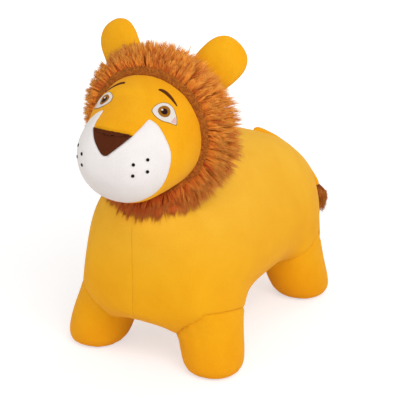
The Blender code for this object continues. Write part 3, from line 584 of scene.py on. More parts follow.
@contextmanager
def editing(item: bpy.types.Object) -> Iterator[bmesh.types.BMesh]:
    """Open an object's mesh for editing, and write it back at the end.

    Args:
        item: The object.

    Returns:
        The mesh, open for editing.
    """
    shape = bmesh.new()
    shape.from_mesh(item.data)
    yield shape
    shape.to_mesh(item.data)
    shape.free()


def made_of(name: str, shape: bmesh.types.BMesh) -> bpy.types.Object:
    """Return a new object with an edited mesh's faces.

    Args:
        name: The object's name.
        shape: The edited mesh, which is freed.

    Returns:
        The object, in the scene.
    """
    mesh = bpy.data.meshes.new(name)
    shape.to_mesh(mesh)
    shape.free()
    return add_object(name, mesh)


def combined(item: bpy.types.Object, other: bpy.types.Object, operation: str) -> bpy.types.Object:
    """Join a closed form with another, or take the other away from it.

    Args:
        item: The form that is changed.
        other: The other form.
        operation: UNION or DIFFERENCE.

    Returns:
        The changed object.
    """
    step = item.modifiers.new("combined", "BOOLEAN")
    step.operation = operation
    step.object = other
    return settle(item)


def placed(item: bpy.types.Object, rides: Optional[str], node: Optional[str] = None) -> bpy.types.Object:
    """Put a finished piece on its body, and hide the CAD node that it takes the place of.

    Args:
        item: The piece.
        rides: The body that it rides on, or None to leave it on no body, with its place written into its
            mesh.
        node: The CAD node that it takes the place of, if any.

    Returns:
        The same piece.
    """
    if rides is None:
        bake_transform(item)
    else:
        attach(item, rides)
    if node:
        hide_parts(node)
    LOG.info("made %s", item.name)
    return item


def tree_of(item: bpy.types.Object) -> BVHTree:
    """Return a search tree over an object's faces.

    Args:
        item: The object.

    Returns:
        The tree.
    """
    mesh = item.data
    return BVHTree.FromPolygons([vertex.co for vertex in mesh.vertices],
                                [tuple(face.vertices) for face in mesh.polygons])


@dataclass(frozen=True)
class Seam:
    """How a panel is drawn in along its seams: how deep, how far from the edge, and the puckers' height."""

    depth: float = 0.0016
    reach: float = 0.006
    pucker: float = 0.0004


SLEEVE_SEAM = Seam(0.0036, 0.011, 0.0006)
PANEL_SEAM = Seam(0.0015, 0.006, 0.0006)
NOSE_SEAM = Seam(0.0014, 0.005, 0.0)


def draw_in(item: bpy.types.Object, seam: Seam, share_at: Callable[[Vector], float]) -> None:
    """Pull a panel's edges in towards their seams, with small puckers along them.

    Args:
        item: The panel, an open surface.
        seam: How its edges are drawn in.
        share_at: How much of the pull is felt at a place.
    """
    with editing(item) as shape:
        shape.normal_update()
        rim = [vertex for vertex in shape.verts if vertex.is_boundary]
        near = KDTree(len(rim))
        for number, vertex in enumerate(rim):
            near.insert(vertex.co, number)
        near.balance()
        moves = []
        for vertex in shape.verts:
            distance = near.find(vertex.co)[2]
            if distance > 4 * seam.reach:
                moves.append(Vector())
                continue
            share = share_at(vertex.co)
            pull = share * seam.depth * max(0.0, 1 - distance / seam.reach) ** 2
            fade = share * max(0.0, 1 - distance / (4 * seam.reach))
            fold = seam.pucker * fade * (noise.noise(vertex.co * 95) + 0.5 * noise.noise(vertex.co * 210))
            moves.append(vertex.normal * (fold - pull))
        for vertex in rim:
            inner = [edge.other_vert(vertex).co for edge in vertex.link_edges if not edge.is_boundary]
            if inner:
                inward = sum(inner, Vector()) / len(inner) - vertex.co
                moves[vertex.index] += inward.normalized() * min(EDGE_ROOM, inward.length / 3)
        for vertex, move in zip(shape.verts, moves):
            vertex.co += move


def sewn(item: bpy.types.Object, material: bpy.types.Material, rides: Optional[str], node: str,
         seam: Seam = Seam(), share_at: Callable[[Vector], float] = lambda place: 1.0) -> None:
    """Draw in, close, dress and place one panel of the cover.

    Args:
        item: The panel, an open surface.
        material: Its finish.
        rides: The body that it rides on, or None to leave it on no body.
        node: The CAD node that it takes the place of.
        seam: How its edges are drawn in.
        share_at: How much of that is felt at a place.
    """
    draw_in(item, seam, share_at)
    thicken(item)
    dress(item, material)
    placed(item, rides, node)


def loft(name: str, rings: Sequence[Sequence[Vector]], closed: bool = False, round_way: bool = True,
         poles: Sequence[Optional[Vector]] = (None, None), ends: bool = False) -> bpy.types.Object:
    """Return a surface through rows of points.

    Args:
        name: The object's name.
        rings: Rows of the same number of points.
        closed: Whether the last row joins the first.
        round_way: Whether each row's end joins its start.
        poles: Points that close the first and the last row.
        ends: Whether flat faces close the rows that have no pole.

    Returns:
        The object.
    """
    sides = len(rings[0])
    points = [point for ring in rings for point in ring]
    faces = []
    for row in range(len(rings) if closed else len(rings) - 1):
        low, high = row * sides, (row + 1) % len(rings) * sides
        for side in range(sides if round_way else sides - 1):
            after = (side + 1) % sides
            faces.append((low + side, low + after, high + after, high + side))
    if not closed:
        for last, pole in enumerate(poles):
            first = (len(rings) - 1) * sides if last else 0
            row = [first + side for side in range(sides)]
            if not last:
                row.reverse()
            if pole is not None:
                points.append(pole)
                faces += [(row[side], row[(side + 1) % sides], len(points) - 1) for side in range(sides)]
            elif ends:
                faces.append(row)
    return add_mesh(name, points, faces)


def face_out(item: bpy.types.Object, centre: Vector) -> bpy.types.Object:
    """Turn an object's faces so that most of them look away from a centre.

    Args:
        item: The object.
        centre: A place inside it.

    Returns:
        The same object.
    """
    with editing(item) as shape:
        bmesh.ops.remove_doubles(shape, verts=shape.verts, dist=WELD)
        bmesh.ops.recalc_face_normals(shape, faces=shape.faces)
        away = sum(face.calc_area() * face.normal.dot((face.calc_center_median() - centre).normalized())
                   for face in shape.faces)
        if away < 0:
            bmesh.ops.reverse_faces(shape, faces=shape.faces)
    return item


def turned_out(item: bpy.types.Object) -> bpy.types.Object:
    """Turn a closed object's faces so that they look out.

    Args:
        item: The object.

    Returns:
        The same object.
    """
    with editing(item) as shape:
        bmesh.ops.recalc_face_normals(shape, faces=shape.faces)
    return item


def along_span(span: Sequence[Any], t: float) -> Any:
    """Return the place at a share of a smooth line's span.

    Args:
        span: Four places, with the span between the second and the third.
        t: The share, from 0 to 1.

    Returns:
        The place, of the same kind as the four.
    """
    a, b, c, d = span
    return 0.5 * (2 * b + (c - a) * t + (2 * a - 5 * b + 4 * c - d) * t * t
                  + (3 * b - a - 3 * c + d) * t ** 3)


def spline(points: Sequence[Sequence[float]], steps: int, closed: bool = False) -> list[Vector]:
    """Return a smooth line through points.

    Args:
        points: The places that it passes.
        steps: How many pieces each span gets.
        closed: Whether the last point joins the first.

    Returns:
        The line's points, with both ends unless it is closed.
    """
    places = [Vector(point) for point in points]
    count = len(places)
    if closed:
        extended = [places[-1], *places, places[0], places[1]]
        spans = count
    else:
        extended = [2 * places[0] - places[1], *places, 2 * places[-1] - places[-2]]
        spans = count - 1
    made = []
    for span in range(spans):
        made += [along_span(extended[span:span + 4], step / steps) for step in range(steps)]
    if not closed:
        made.append(places[-1])
    return made


def resampled(line: Sequence[Vector], count: int, closed: bool = False) -> list[Vector]:
    """Return points at equal distances along a line.

    Args:
        line: The line's points.
        count: How many points are wanted.
        closed: Whether the line's end joins its start.

    Returns:
        The points; a closed line's start isn't repeated.
    """
    places = [*line, line[0]] if closed else list(line)
    table = np.array([tuple(place) for place in places])
    walked = np.concatenate(([0.0], np.cumsum(np.linalg.norm(np.diff(table, axis=0), axis=1))))
    wanted = np.linspace(0.0, walked[-1], count + 1 if closed else count)
    made = np.stack([np.interp(wanted, walked, table[:, part]) for part in range(table.shape[1])], axis=1)
    return [Vector(row) for row in (made[:-1] if closed else made)]


@dataclass
class Body:
    """The body's cover: side panels, leg sleeves, soles and the belly panel."""

    chest_y: float = -0.1976
    length: float = 0.470
    feet_y: float = 0.0184
    back: float = 0.309
    belly: float = 0.081
    half_width: float = 0.134
    cap_bulge: float = 0.012
    foot_track: float = 0.1155
    foot_base: float = 0.168
    splay_out: float = 0.0215
    splay_along: float = 0.021
    leg_radius: float = 0.054
    foot_radius: float = 0.049
    sole_radius: float = 0.040
    seam_height: float = 0.094
    seam_tilt: float = math.radians(22)
    sole_height: float = 0.010
    neck_half_width: float = 0.080
    neck_half_depth: float = 0.036
    neck_y: float = -0.1316
    neck_rise: float = 0.042
    panel_half_width: float = 0.030
    panel_ends: tuple[float, float] = (-0.06365, 0.11965)
    rows: Shares = (
        (-0.025, 0.66, 0.88, 0.06, 0.87), (0.030, 0.88, 1.01, -0.05, 0.92), (0.150, 0.97, 1.03, 0.00, 0.97),
        (0.270, 1.00, 1.02, 0.00, 1.00), (0.470, 1.00, 1.01, 0.00, 1.00), (0.690, 1.00, 1.01, 0.00, 1.00),
        (0.820, 0.99, 0.96, 0.00, 1.00), (0.925, 0.88, 0.85, 0.01, 1.00), (1.015, 0.62, 0.68, 0.19, 1.00),
    )
    corners: Shares = (
        (0.00, 1.00), (0.50, 0.99), (0.90, 0.80), (1.05, 0.48), (1.07, 0.16), (0.66, 0.00), (0.33, 0.00),
        (0.00, 0.00),
    )
    levels: int = 4

    def form(self) -> bpy.types.Object:
        """Return the smooth outer surface of the body, its legs and its neck.

        Returns:
            A closed surface.
        """
        points, faces, index = [], [], {}
        for row, (along, wide, top, bottom, shoulder) in enumerate(self.rows):
            low = self.belly + (self.back - self.belly) * bottom
            for corner, (out, up) in enumerate(self.corners):
                for side in (-1, 1):
                    if out == 0 and side < 0:
                        continue
                    index[row, corner, side] = len(points)
                    half = out * wide * self.half_width * (shoulder if corner in (2, 3) else 1)
                    points.append(Vector((side * half, self.chest_y + self.length * along,
                                          low + (self.back * top - low) * up)))
            index[row, 0, -1] = index[row, 0, 1]
            index[row, 7, -1] = index[row, 7, 1]
        for row in range(8):
            for corner in range(7):
                if (corner in (4, 5) and row in (1, 2, 5, 6)) or (corner == 0 and row < 3):
                    continue
                for side in (-1, 1):
                    face = [index[row, corner, side], index[row, corner + 1, side],
                            index[row + 1, corner + 1, side], index[row + 1, corner, side]]
                    faces.append(face[::side])
        for row, end in ((0, -1), (8, 1)):
            self._close_end(points, faces, index, row, end)
        for side in (-1, 1):
            for first, end in ((1, -1), (5, 1)):
                self._add_leg(points, faces, index, side, end, first)
        self._add_neck(points, faces, index)
        made = face_out(add_mesh("body_form", points, faces), Vector((0, 0, self.back / 2)))
        smoothed(made, self.levels)
        for vertex in made.data.vertices:
            vertex.co.z = max(0.0, vertex.co.z)
        return made

    def _close_end(self, points: list, faces: list, index: dict, row: int, end: int) -> None:
        """Close the cage at the chest or the rump, with the middle standing out.

        Args:
            points: The cage's points, which are added to.
            faces: The cage's faces, which are added to.
            index: The number of the point in each row, corner and side.
            row: The cage's first or last row.
            end: 1 at the rump, -1 at the chest.
        """
        middles = []
        for corner in range(1, 6):
            level = points[index[row, corner, 1]]
            if corner == 5:
                level = level.lerp(points[index[row, 4, 1]], 0.4)
            middles.append(len(points))
            points.append(Vector((0, points[index[row, 0, 1]].y + end * self.cap_bulge, level.z)))
        for side in (-1, 1):
            for corner in range(1, 5):
                faces.append([index[row, corner, side], index[row, corner + 1, side],
                              middles[corner], middles[corner - 1]])
            faces.append([index[row, 5, side], index[row, 6, side], index[row, 7, 1], middles[4]])
        faces.append([index[row, 0, 1], index[row, 1, -1], middles[0], index[row, 1, 1]])

    def _add_leg(self, points: list, faces: list, index: dict, side: int, end: int, first: int) -> None:
        """Extend the cage by one leg, from its hole in the underside down to the sole.

        Args:
            points: The cage's points, which are added to.
            faces: The cage's faces, which are added to.
            index: The number of the point in each row, corner and side.
            side: 1 on the lion's left, -1 on its right.
            end: 1 at the rump, -1 at the chest.
            first: The first row of the hole that the leg fills.
        """
        rim = [(0, 4), (0, 5), (0, 6), (1, 6), (2, 6), (2, 5), (2, 4), (1, 4)]
        upper = [index[first + row, corner, side] for row, corner in rim]
        foot, splay = self._stance(side, end)
        levels = ((0.62 * self.seam_height, 1.10 * self.leg_radius, 0.5),
                  (0.18 * self.seam_height, 1.20 * self.foot_radius, 0.2),
                  (-0.0005, 1.20 * self.sole_radius, 0.0))
        for height, radius, lean in levels:
            middle = foot - splay * (height / self.seam_height)
            middle.z = height
            ring = []
            for row, corner in rim:
                direction = Vector((side * (5 - corner), row - 1, 0)).normalized()
                point = middle + direction * radius
                point.z += lean * direction.dot(splay.normalized()) * splay.length / self.seam_height * radius
                ring.append(len(points))
                points.append(point)
            for place in range(8):
                after = (place + 1) % 8
                faces.append([upper[place], upper[after], ring[after], ring[place]])
            upper = ring
        points.append(middle)
        for place in (0, 2, 4, 6):
            faces.append([upper[place], upper[place + 1], len(points) - 1, upper[place - 1]])

    def _add_neck(self, points: list, faces: list, index: dict) -> None:
        """Extend the cage by the neck, from its hole in the shoulders up into the head.

        Args:
            points: The cage's points, which are added to.
            faces: The cage's faces, which are added to.
            index: The number of the point in each row, corner and side.
        """
        rim = [(0, 0, 1), (0, 1, 1), (1, 1, 1), (2, 1, 1), (3, 1, 1),
               (3, 0, 1), (3, 1, -1), (2, 1, -1), (1, 1, -1), (0, 1, -1)]
        upper = [index[key] for key in rim]
        for height in (self.back + self.neck_rise / 2, self.back + self.neck_rise):
            ring = []
            for place in range(10):
                angle = math.tau * place / 10 - math.pi / 2
                ring.append(len(points))
                points.append(Vector((self.neck_half_width * math.cos(angle),
                                      self.neck_y + self.neck_half_depth * math.sin(angle), height)))
            for place in range(10):
                after = (place + 1) % 10
                faces.append([upper[place], upper[after], ring[after], ring[place]])
            upper = ring
        inner = []
        for place in (2, 3):
            inner.append(len(points))
            points.append(Vector((0, points[upper[place]].y, self.back + self.neck_rise)))
        low, high = inner
        faces += [[upper[0], upper[1], upper[2], low], [upper[0], low, upper[8], upper[9]],
                  [upper[2], upper[3], high, low], [low, high, upper[7], upper[8]],
                  [upper[3], upper[4], upper[5], high], [high, upper[5], upper[6], upper[7]]]

    def _stance(self, side: int, end: int) -> tuple[Vector, Vector]:
        """Return the middle of one foot, and how far its leg splays from the seam down."""
        foot = Vector((side * self.foot_track, self.feet_y + end * self.foot_base, 0))
        return foot, Vector((side * self.splay_out, end * self.splay_along, 0))

    def seam(self, side: int, end: int) -> tuple[Vector, Vector]:
        """Return where one leg's seam has its middle, and the way up across it.

        Args:
            side: 1 on the lion's left, -1 on its right.
            end: 1 at the rump, -1 at the chest.

        Returns:
            The seam's middle, and its upward direction.
        """
        foot, splay = self._stance(side, end)
        hip = foot - splay + Vector((0, 0, self.seam_height))
        across = splay.normalized().cross(Vector((0, 0, 1)))
        return hip, Matrix.Rotation(self.seam_tilt, 3, across) @ Vector((0, 0, 1))

    def _near_leg(self, place: Vector, side: int, end: int, spare: float = 0.0) -> bool:
        """Return whether a place belongs to one leg's column.

        Args:
            place: The place.
            side: 1 on the lion's left, -1 on its right.
            end: 1 at the rump, -1 at the chest.
            spare: How far outside the column still counts.

        Returns:
            Whether it belongs to the leg.
        """
        if place.x * side < 0 or (place.y - self.feet_y) * end < 0 or place.z > 0.16:
            return False
        hip, way = self.seam(side, end)
        offset = place - hip
        return (offset - way * offset.dot(way)).length < 1.15 * self.leg_radius + spare

    def _cut_lines(self, shape: bmesh.types.BMesh) -> None:
        """Cut edges into the surface along every seam and beside it.

        Args:
            shape: The surface, open for editing.
        """

        def cut(chosen: Callable[[Vector], bool], place: Vector, way: Vector) -> None:
            """Cut the chosen faces by one plane.

            Args:
                chosen: Tells from a face's middle whether it is cut.
                place: A place on the plane.
                way: The plane's normal.
            """
            faces = [face for face in shape.faces if chosen(face.calc_center_median())]
            edges = {edge for face in faces for edge in face.edges}
            vertices = {vertex for face in faces for vertex in face.verts}
            bmesh.ops.bisect_plane(shape, geom=[*vertices, *edges, *faces], dist=2 * FINE_CUT,
                                   plane_co=place, plane_no=way)

        for side in (-1, 1):
            for end in (-1, 1):
                hip, way = self.seam(side, end)
                for offset in (-SEAM_CUT, 0.0, SEAM_CUT):
                    cut(lambda at: self._near_leg(at, side, end, 0.006)
                        and abs((at - hip).dot(way)) < 0.012, hip + way * offset, way)
        for offset in (-SEAM_CUT, 0.0, SEAM_CUT):
            cut(lambda at: at.z < 0.02, Vector((0, 0, self.sole_height + offset)), Vector((0, 0, 1)))
        start, stop = self.panel_ends
        wide = self.panel_half_width + GAP
        for side in (-1, 1):
            cut(lambda at: self._on_belly(at, 0.012), Vector((side * wide, 0, 0)), Vector((1, 0, 0)))
        for y in (start - GAP, stop + GAP):
            cut(lambda at: self._on_belly(at, 0.012), Vector((0, y, 0)), Vector((0, 1, 0)))
        for x in (-SEAM_CUT, SEAM_CUT):
            cut(lambda at: abs(at.x) < 0.01 and not self._on_belly(at, -0.004), Vector((x, 0, 0)),
                Vector((1, 0, 0)))

    def _on_belly(self, place: Vector, spare: float = 0.0) -> bool:
        """Return whether a place lies on the belly panel's part of the surface.

        Args:
            place: The place.
            spare: How far outside the panel still counts.

        Returns:
            Whether it lies there.
        """
        start, stop = self.panel_ends
        return (abs(place.x) < self.panel_half_width + GAP + spare and place.z < self.belly + 0.006
                and start - GAP - spare < place.y < stop + GAP + spare)

    def build(self, head: "Head", finishes: Finishes) -> None:
        """Make every piece of the cover.

        Args:
            head: The head that the neck goes into.
            finishes: The materials.
        """
        self.surface = self.form()
        self.tree = tree_of(self.surface)
        shape = bmesh.new()
        shape.from_mesh(self.surface.data)
        self._cut_lines(shape)
        shape.faces.ensure_lookup_table()
        shape.faces.index_update()
        names = [self._piece_at(face.calc_center_median(), head) for face in shape.faces]
        for name in sorted(set(names) - {""}):
            part = shape.copy()
            part.faces.ensure_lookup_table()
            gone = [part.faces[number] for number, other in enumerate(names) if other != name]
            bmesh.ops.delete(part, geom=gone, context="FACES")
            stray = [vertex for vertex in part.verts if not vertex.link_faces]
            bmesh.ops.delete(part, geom=stray, context="VERTS")
            self._finish(made_of("plush_" + name, part), name, finishes)
        shape.free()
        self._belly_panel(finishes)

    def _piece_at(self, place: Vector, head: "Head") -> str:
        """Return the name of the CAD node whose piece has the surface at a place.

        Args:
            place: The place.
            head: The head, which hides what is inside it.

        Returns:
            The node's name, or nothing where no piece is needed.
        """
        if self._on_belly(place) or head.holds(place, 0.006):
            return ""
        side = Side.LEFT if place.x > 0 else Side.RIGHT
        end = End.FRONT if place.y < self.feet_y else End.REAR
        if self._near_leg(place, side.value, end.value):
            hip, way = self.seam(side.value, end.value)
            if place.z < self.sole_height:
                return "sole_%s_%s" % (end.word, side.word)
            if (place - hip).dot(way) < 0:
                return "leg_sleeve_%s_%s" % (end.word, side.word)
        return "side_panel_" + side.word

    def _finish(self, item: bpy.types.Object, name: str, finishes: Finishes) -> None:
        """Close, dress and place one piece of the cover.

        Args:
            item: The piece, an open surface.
            name: The CAD node that it takes the place of.
            finishes: The materials.
        """
        if name.startswith("leg_sleeve"):
            sewn(item, finishes.body, None, name, SLEEVE_SEAM,
                 lambda at: 1.0 if at.z > 0.03 else 0.1)
        else:
            sewn(item, finishes.body, "feet" if name.startswith("sole") else "trunk", name,
                 PANEL_SEAM, lambda at: 1.0 if abs(at.x) > 0.03 and at.z < 0.16 else 0.3)

    def _belly_panel(self, finishes: Finishes) -> None:
        """Make the flat panel under the belly, round the zip's slot and the valve's hole.

        Args:
            finishes: The materials.
        """
        low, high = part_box("belly_panel")
        tapes = [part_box("zip_tape_" + side.word) for side in Side]
        slot_low = Vector((min(part[0].x for part in tapes), tapes[0][0].y, 0)) - Vector((GAP, GAP, 0))
        slot_high = Vector((max(part[1].x for part in tapes), tapes[0][1].y, 0)) + Vector((GAP, GAP, 0))
        plug_low, plug_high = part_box("air_plug")
        hole = (plug_low + plug_high) / 2
        sides, radius, rounded, worn = 48, 0.013, 0.002, 0.0004
        shape = bmesh.new()
        outlines = [rounded_box(low, high, rounded, 12), rounded_box(slot_low, slot_high, rounded, 12),
                    [(hole.x + radius * math.cos(math.tau * step / sides),
                      hole.y + radius * math.sin(math.tau * step / sides)) for step in range(sides)]]
        edges = []
        for outline in outlines:
            ring = [shape.verts.new((x, y, high.z)) for x, y in outline]
            edges += [shape.edges.new((ring[i - 1], ring[i])) for i in range(len(ring))]
        bmesh.ops.triangle_fill(shape, use_beauty=True, use_dissolve=False, edges=edges)
        bmesh.ops.subdivide_edges(shape, edges=shape.edges[:], cuts=2, use_grid_fill=True)
        for vertex in shape.verts:
            if vertex.is_boundary:
                vertex.co.z -= worn
        made = bmesh.ops.extrude_face_region(shape, geom=shape.faces[:])
        under = [part for part in made["geom"] if isinstance(part, bmesh.types.BMVert)]
        bmesh.ops.translate(shape, verts=under, vec=(0, 0, low.z - high.z + worn))
        bmesh.ops.recalc_face_normals(shape, faces=shape.faces)
        item = dress(made_of("plush_belly_panel", shape), finishes.body)
        placed(item, "trunk", "belly_panel")


def rounded_box(low: Vector, high: Vector, radius: float, steps: int) -> list[tuple[float, float]]:
    """Return the outline of a rectangle with round corners.

    Args:
        low: Its lowest corner.
        high: Its highest corner.
        radius: The corners' radius.
        steps: How many pieces each corner has.

    Returns:
        Places in the XY plane.
    """
    made = []
    for number, (x, y) in enumerate(((high.x, high.y), (low.x, high.y), (low.x, low.y), (high.x, low.y))):
        across = -radius if x == high.x else radius
        along = -radius if y == high.y else radius
        for step in range(steps + 1):
            angle = math.pi / 2 * (number + step / steps)
            made.append((x + across + radius * math.cos(angle), y + along + radius * math.sin(angle)))
    return made


@dataclass
class Head:
    """The head's cover: face, muzzle, nose and back, with the eyes, brows and whisker dots."""

    centre: Vector = Vector((0, -0.1516, 0.4065))
    radius: float = 0.094
    back: float = 0.085
    face: float = 0.143
    band: float = 0.030
    eye_size: float = 0.036
    stations: Shares = (
        (0.88, 0.45, -0.45, 0.45), (0.65, 0.70, -0.70, 0.70), (0.30, 0.93, -0.93, 0.92),
        (0.00, 1.00, -1.00, 0.97),
        (-0.25, 0.98, -1.00, 0.86), (-0.35, 0.95, -1.00, 0.74), (-0.47, 0.90, -1.00, 0.66),
        (-0.60, 0.85, -0.99, 0.58), (-0.74, 0.77, -0.92, 0.50), (-0.84, 0.66, -0.81, 0.39),
        (-0.92, 0.51, -0.64, 0.25), (-0.98, 0.31, -0.45, 0.05),
    )
    pole: float = -0.19
    muzzle: Shares = (
        (0.38, 1.22, 0.36), (0.46, 1.06, 0.50), (0.51, 0.93, 0.60), (0.58, 0.90, 0.58), (0.68, 0.86, 0.48),
        (0.79, 0.84, 0.29), (0.87, 0.80, 0.00), (0.84, 0.84, -0.30), (0.71, 0.90, -0.58), (0.50, 0.98, -0.76),
        (0.28, 1.04, -0.87), (0.00, 1.06, -0.92),
    )
    nose_tip: Shares = ((0.00, 1.42, 0.02), (0.05, 1.42, 0.04), (0.38, 1.22, 0.36))
    whiskers: Shares = ((0.47, 1.33, -0.06), (0.65, 1.20, 0.00), (0.46, 1.33, -0.24), (0.65, 1.21, -0.19))
    eye: Shares = (
        (-0.51, 0.04), (-0.42, 0.23), (-0.23, 0.37), (0.00, 0.41), (0.23, 0.33), (0.41, 0.12), (0.48, -0.19),
        (0.48, -0.46), (0.42, -0.60), (0.16, -0.52), (-0.16, -0.43), (-0.39, -0.23),
    )
    inner_corner: Shares = ((0.44, -0.28), (0.46, -0.46), (0.41, -0.56), (0.24, -0.51), (0.30, -0.40))
    eye_at: tuple[float, float, float] = (0.053, 0.049, 0.054)
    brow_at: tuple[float, float, float] = (0.056, 0.036, 0.070)
    iris_radius: float = 0.0098
    pupil_radius: float = 0.0053
    painted_glint_radius: float = 0.0017
    dot_radius: float = 0.0027
    brow_half_width: float = 0.0031
    nose_lift: float = 0.0015
    brow: Shares = ((-0.18, 0.72), (-0.08, 0.66), (0.05, 0.48), (0.18, 0.14), (0.29, -0.28))

    def form(self, steps: int = 6, sides: int = 96) -> bpy.types.Object:
        """Return the smooth outer surface of the whole head.

        Args:
            steps: How many rows each span between two stations gets.
            sides: How many points each row has.

        Returns:
            A closed surface.
        """
        rows = [(self.back, 0.0, 0.0, 0.0)]
        for along, wide, low, high in self.stations:
            depth = self.back if along > 0 else self.face
            rows.append((along * depth, self.radius * wide, self.radius * low, self.radius * high))
        tip = self.radius * self.pole
        rows.append((-self.face, 0.0, tip, tip))
        first, last = rows[1], rows[-2]
        rows = [(first[0], -first[1], first[3], first[2]), *rows, (last[0], -last[1], last[3], last[2])]
        table = np.array(rows)
        made = []
        for span in range(1, len(table) - 2):
            made += [along_span(table[span - 1:span + 3], step / steps) for step in range(steps)]
        rings = []
        for y, wide, low, high in made[1:]:
            ring = []
            for step in range(sides):
                angle = math.tau * (step + 0.5) / sides
                power = 2 / 2.1
                x = wide * math.copysign(abs(math.cos(angle)) ** power, math.cos(angle))
                z = (high - low) / 2 * math.copysign(abs(math.sin(angle)) ** power, math.sin(angle))
                ring.append(self.centre + Vector((x, y, (high + low) / 2 + z)))
            rings.append(ring)
        poles = (self.centre + Vector((0, self.back, 0)), self.centre + Vector((0, -self.face, tip)))
        made = loft("head_form", rings, poles=poles)
        return face_out(made, self.centre)

    def prepare(self) -> None:
        """Make the head's surface, which the other assemblies ask for places."""
        self.surface = self.form()
        self.tree = tree_of(self.surface)

    def holds(self, place: Vector, depth: float = 0.0) -> bool:
        """Return whether a place is inside the head by at least a depth.

        Args:
            place: The place.
            depth: How deep it has to be.

        Returns:
            Whether it is that deep inside.
        """
        if (place - self.centre).length > 0.17:
            return False
        near, normal, _, _ = self.tree.find_nearest(place)
        return (near - place).dot(normal) > depth

    def at(self, direction: Vector, lift: float = 0.0) -> Vector:
        """Return the surface's place in a direction from the ring's middle, lifted off it."""
        place, normal, _, _ = self.tree.ray_cast(self.centre, direction.normalized())
        return place + normal * lift

    def _patchwork(self, name: str, outer: Sequence[Vector], inner: Sequence[Vector], rows: int,
                   closed: bool, lift: float = 0.0) -> bpy.types.Object:
        """Return a surface on the head between two lines of directions.

        Args:
            name: The object's name.
            outer: Directions along one edge.
            inner: As many directions along the other edge.
            rows: How many rows of faces lie between them.
            closed: Whether both lines are loops.
            lift: How far it lies off the head.

        Returns:
            The surface, facing out.
        """
        made = []
        for row in range(rows + 1):
            share = 0.5 - 0.5 * math.cos(math.pi * row / rows)
            share = 0.5 * share + 0.5 * row / rows
            made.append([self.at(a.lerp(b, share), lift) for a, b in zip(outer, inner)])
        return face_out(loft(name, made, round_way=closed), self.centre)

    def build(self, body: Body, finishes: Finishes) -> None:
        """Make the head's panels and what is sewn on them.

        Args:
            body: The body that the head is sewn to.
            finishes: The materials.
        """
        half = [Vector((x, -y, z)) for x, y, z in self.muzzle]
        left = spline(half, 8)
        edge = left + [Vector((-at.x, at.y, at.z)) for at in reversed(left[:-1])]
        corner = half[0]
        top = [Vector((corner.x * share, corner.y - 0.03 * (1 - share * share),
                       corner.z + 0.012 * (1 - share ** 2)))
               for share in np.linspace(-1, 1, 24)[1:-1]]
        peak = 16
        corners = [math.radians(angle) for angle in (77, 64, -244, -257, -283)]
        sections = (edge[:peak + 1], edge[peak:len(edge) - peak], edge[-1 - peak:], [edge[-1], *top, edge[0]])
        loop, ring = [], []
        for number, (section, count) in enumerate(zip(sections, (28, 252, 28, 56))):
            for step, place in enumerate(resampled(section, count + 1)[:-1]):
                angle = corners[number] + (corners[number + 1] - corners[number]) * step / count
                loop.append(place)
                ring.append(Vector((math.cos(angle), 0.0, math.sin(angle))))
        face = self._patchwork("plush_face_panel", ring, loop, 60, True)
        sewn(face, finishes.yellow, "trunk", "face_panel")
        tip = [Vector((x, -y, z)) for x, y, z in self.nose_tip]
        side = spline([tip[1], (0.215, -1.325, 0.19), tip[2]], 12)
        lower = [*reversed(side), Vector((0.0, tip[0].y, tip[0].z + 0.008)),
                 *[Vector((-at.x, at.y, at.z)) for at in side]]
        inner = edge[peak:0:-1] + lower + edge[-2:-2 - peak:-1]
        outer = edge[peak:len(edge) - peak]
        count = 280
        muzzle = self._patchwork("plush_muzzle_panel", resampled(outer, count), resampled(inner, count), 60,
                                 False)
        sewn(muzzle, finishes.white, "trunk", "muzzle_panel")
        outline = resampled(lower + list(reversed(top)), 120, closed=True)
        middle = sum(outline, Vector()) / len(outline)
        rows = [[self.at(middle.lerp(at, share), self.nose_lift) for at in outline]
                for share in np.linspace(0.12, 1, 24)]
        nose = face_out(loft("velour_nose", rows, poles=(self.at(middle, self.nose_lift), None)), self.centre)
        sewn(nose, finishes.nose, "trunk", "nose", NOSE_SEAM)
        self._back_panel(body, finishes)
        self._details(finishes)

    def _back_panel(self, body: Body, finishes: Finishes) -> None:
        """Make the back of the head, behind the mane's band.

        Args:
            body: The body, which hides the part that is inside its neck.
            finishes: The materials.
        """
        shape = bmesh.new()
        shape.from_mesh(self.surface.data)
        bmesh.ops.bisect_plane(shape, geom=shape.verts[:] + shape.edges[:] + shape.faces[:], dist=FINE_CUT,
                               plane_co=(0, self.centre.y + self.band + GAP, 0), plane_no=(0, -1, 0),
                               clear_outer=True)
        bmesh.ops.subdivide_edges(shape, edges=shape.edges[:], cuts=1, use_grid_fill=True)
        hidden = []
        for face in shape.faces:
            place = face.calc_center_median()
            near, normal, _, _ = body.tree.find_nearest(place)
            if (near - place).dot(normal) > 0.008:
                hidden.append(face)
        bmesh.ops.delete(shape, geom=hidden, context="FACES")
        sewn(made_of("plush_head_panel", shape), finishes.yellow, "trunk", "head_panel")

    def _frame(self, out: float, ahead: float, up: float) -> Matrix:
        """Return the frame on the head's surface in one direction, with Z pointing out.

        Args:
            out: The direction's part to the lion's left.
            ahead: Its part to the front.
            up: Its part upwards.

        Returns:
            The frame.
        """
        direction = Vector((out, -ahead, up)).normalized()
        place, _, _, _ = self.tree.ray_cast(self.centre, direction)
        normal = Vector()
        for shift in ((0.06, 0, 0), (-0.06, 0, 0), (0, 0, 0.06), (0, 0, -0.06)):
            normal += self.tree.ray_cast(self.centre, (direction + Vector(shift)).normalized())[1]
        normal.normalize()
        across = Vector((0, 0, 1)).cross(normal).normalized()
        turn = Matrix((across, normal.cross(across), normal)).transposed().to_4x4()
        return Matrix.Translation(place) @ turn

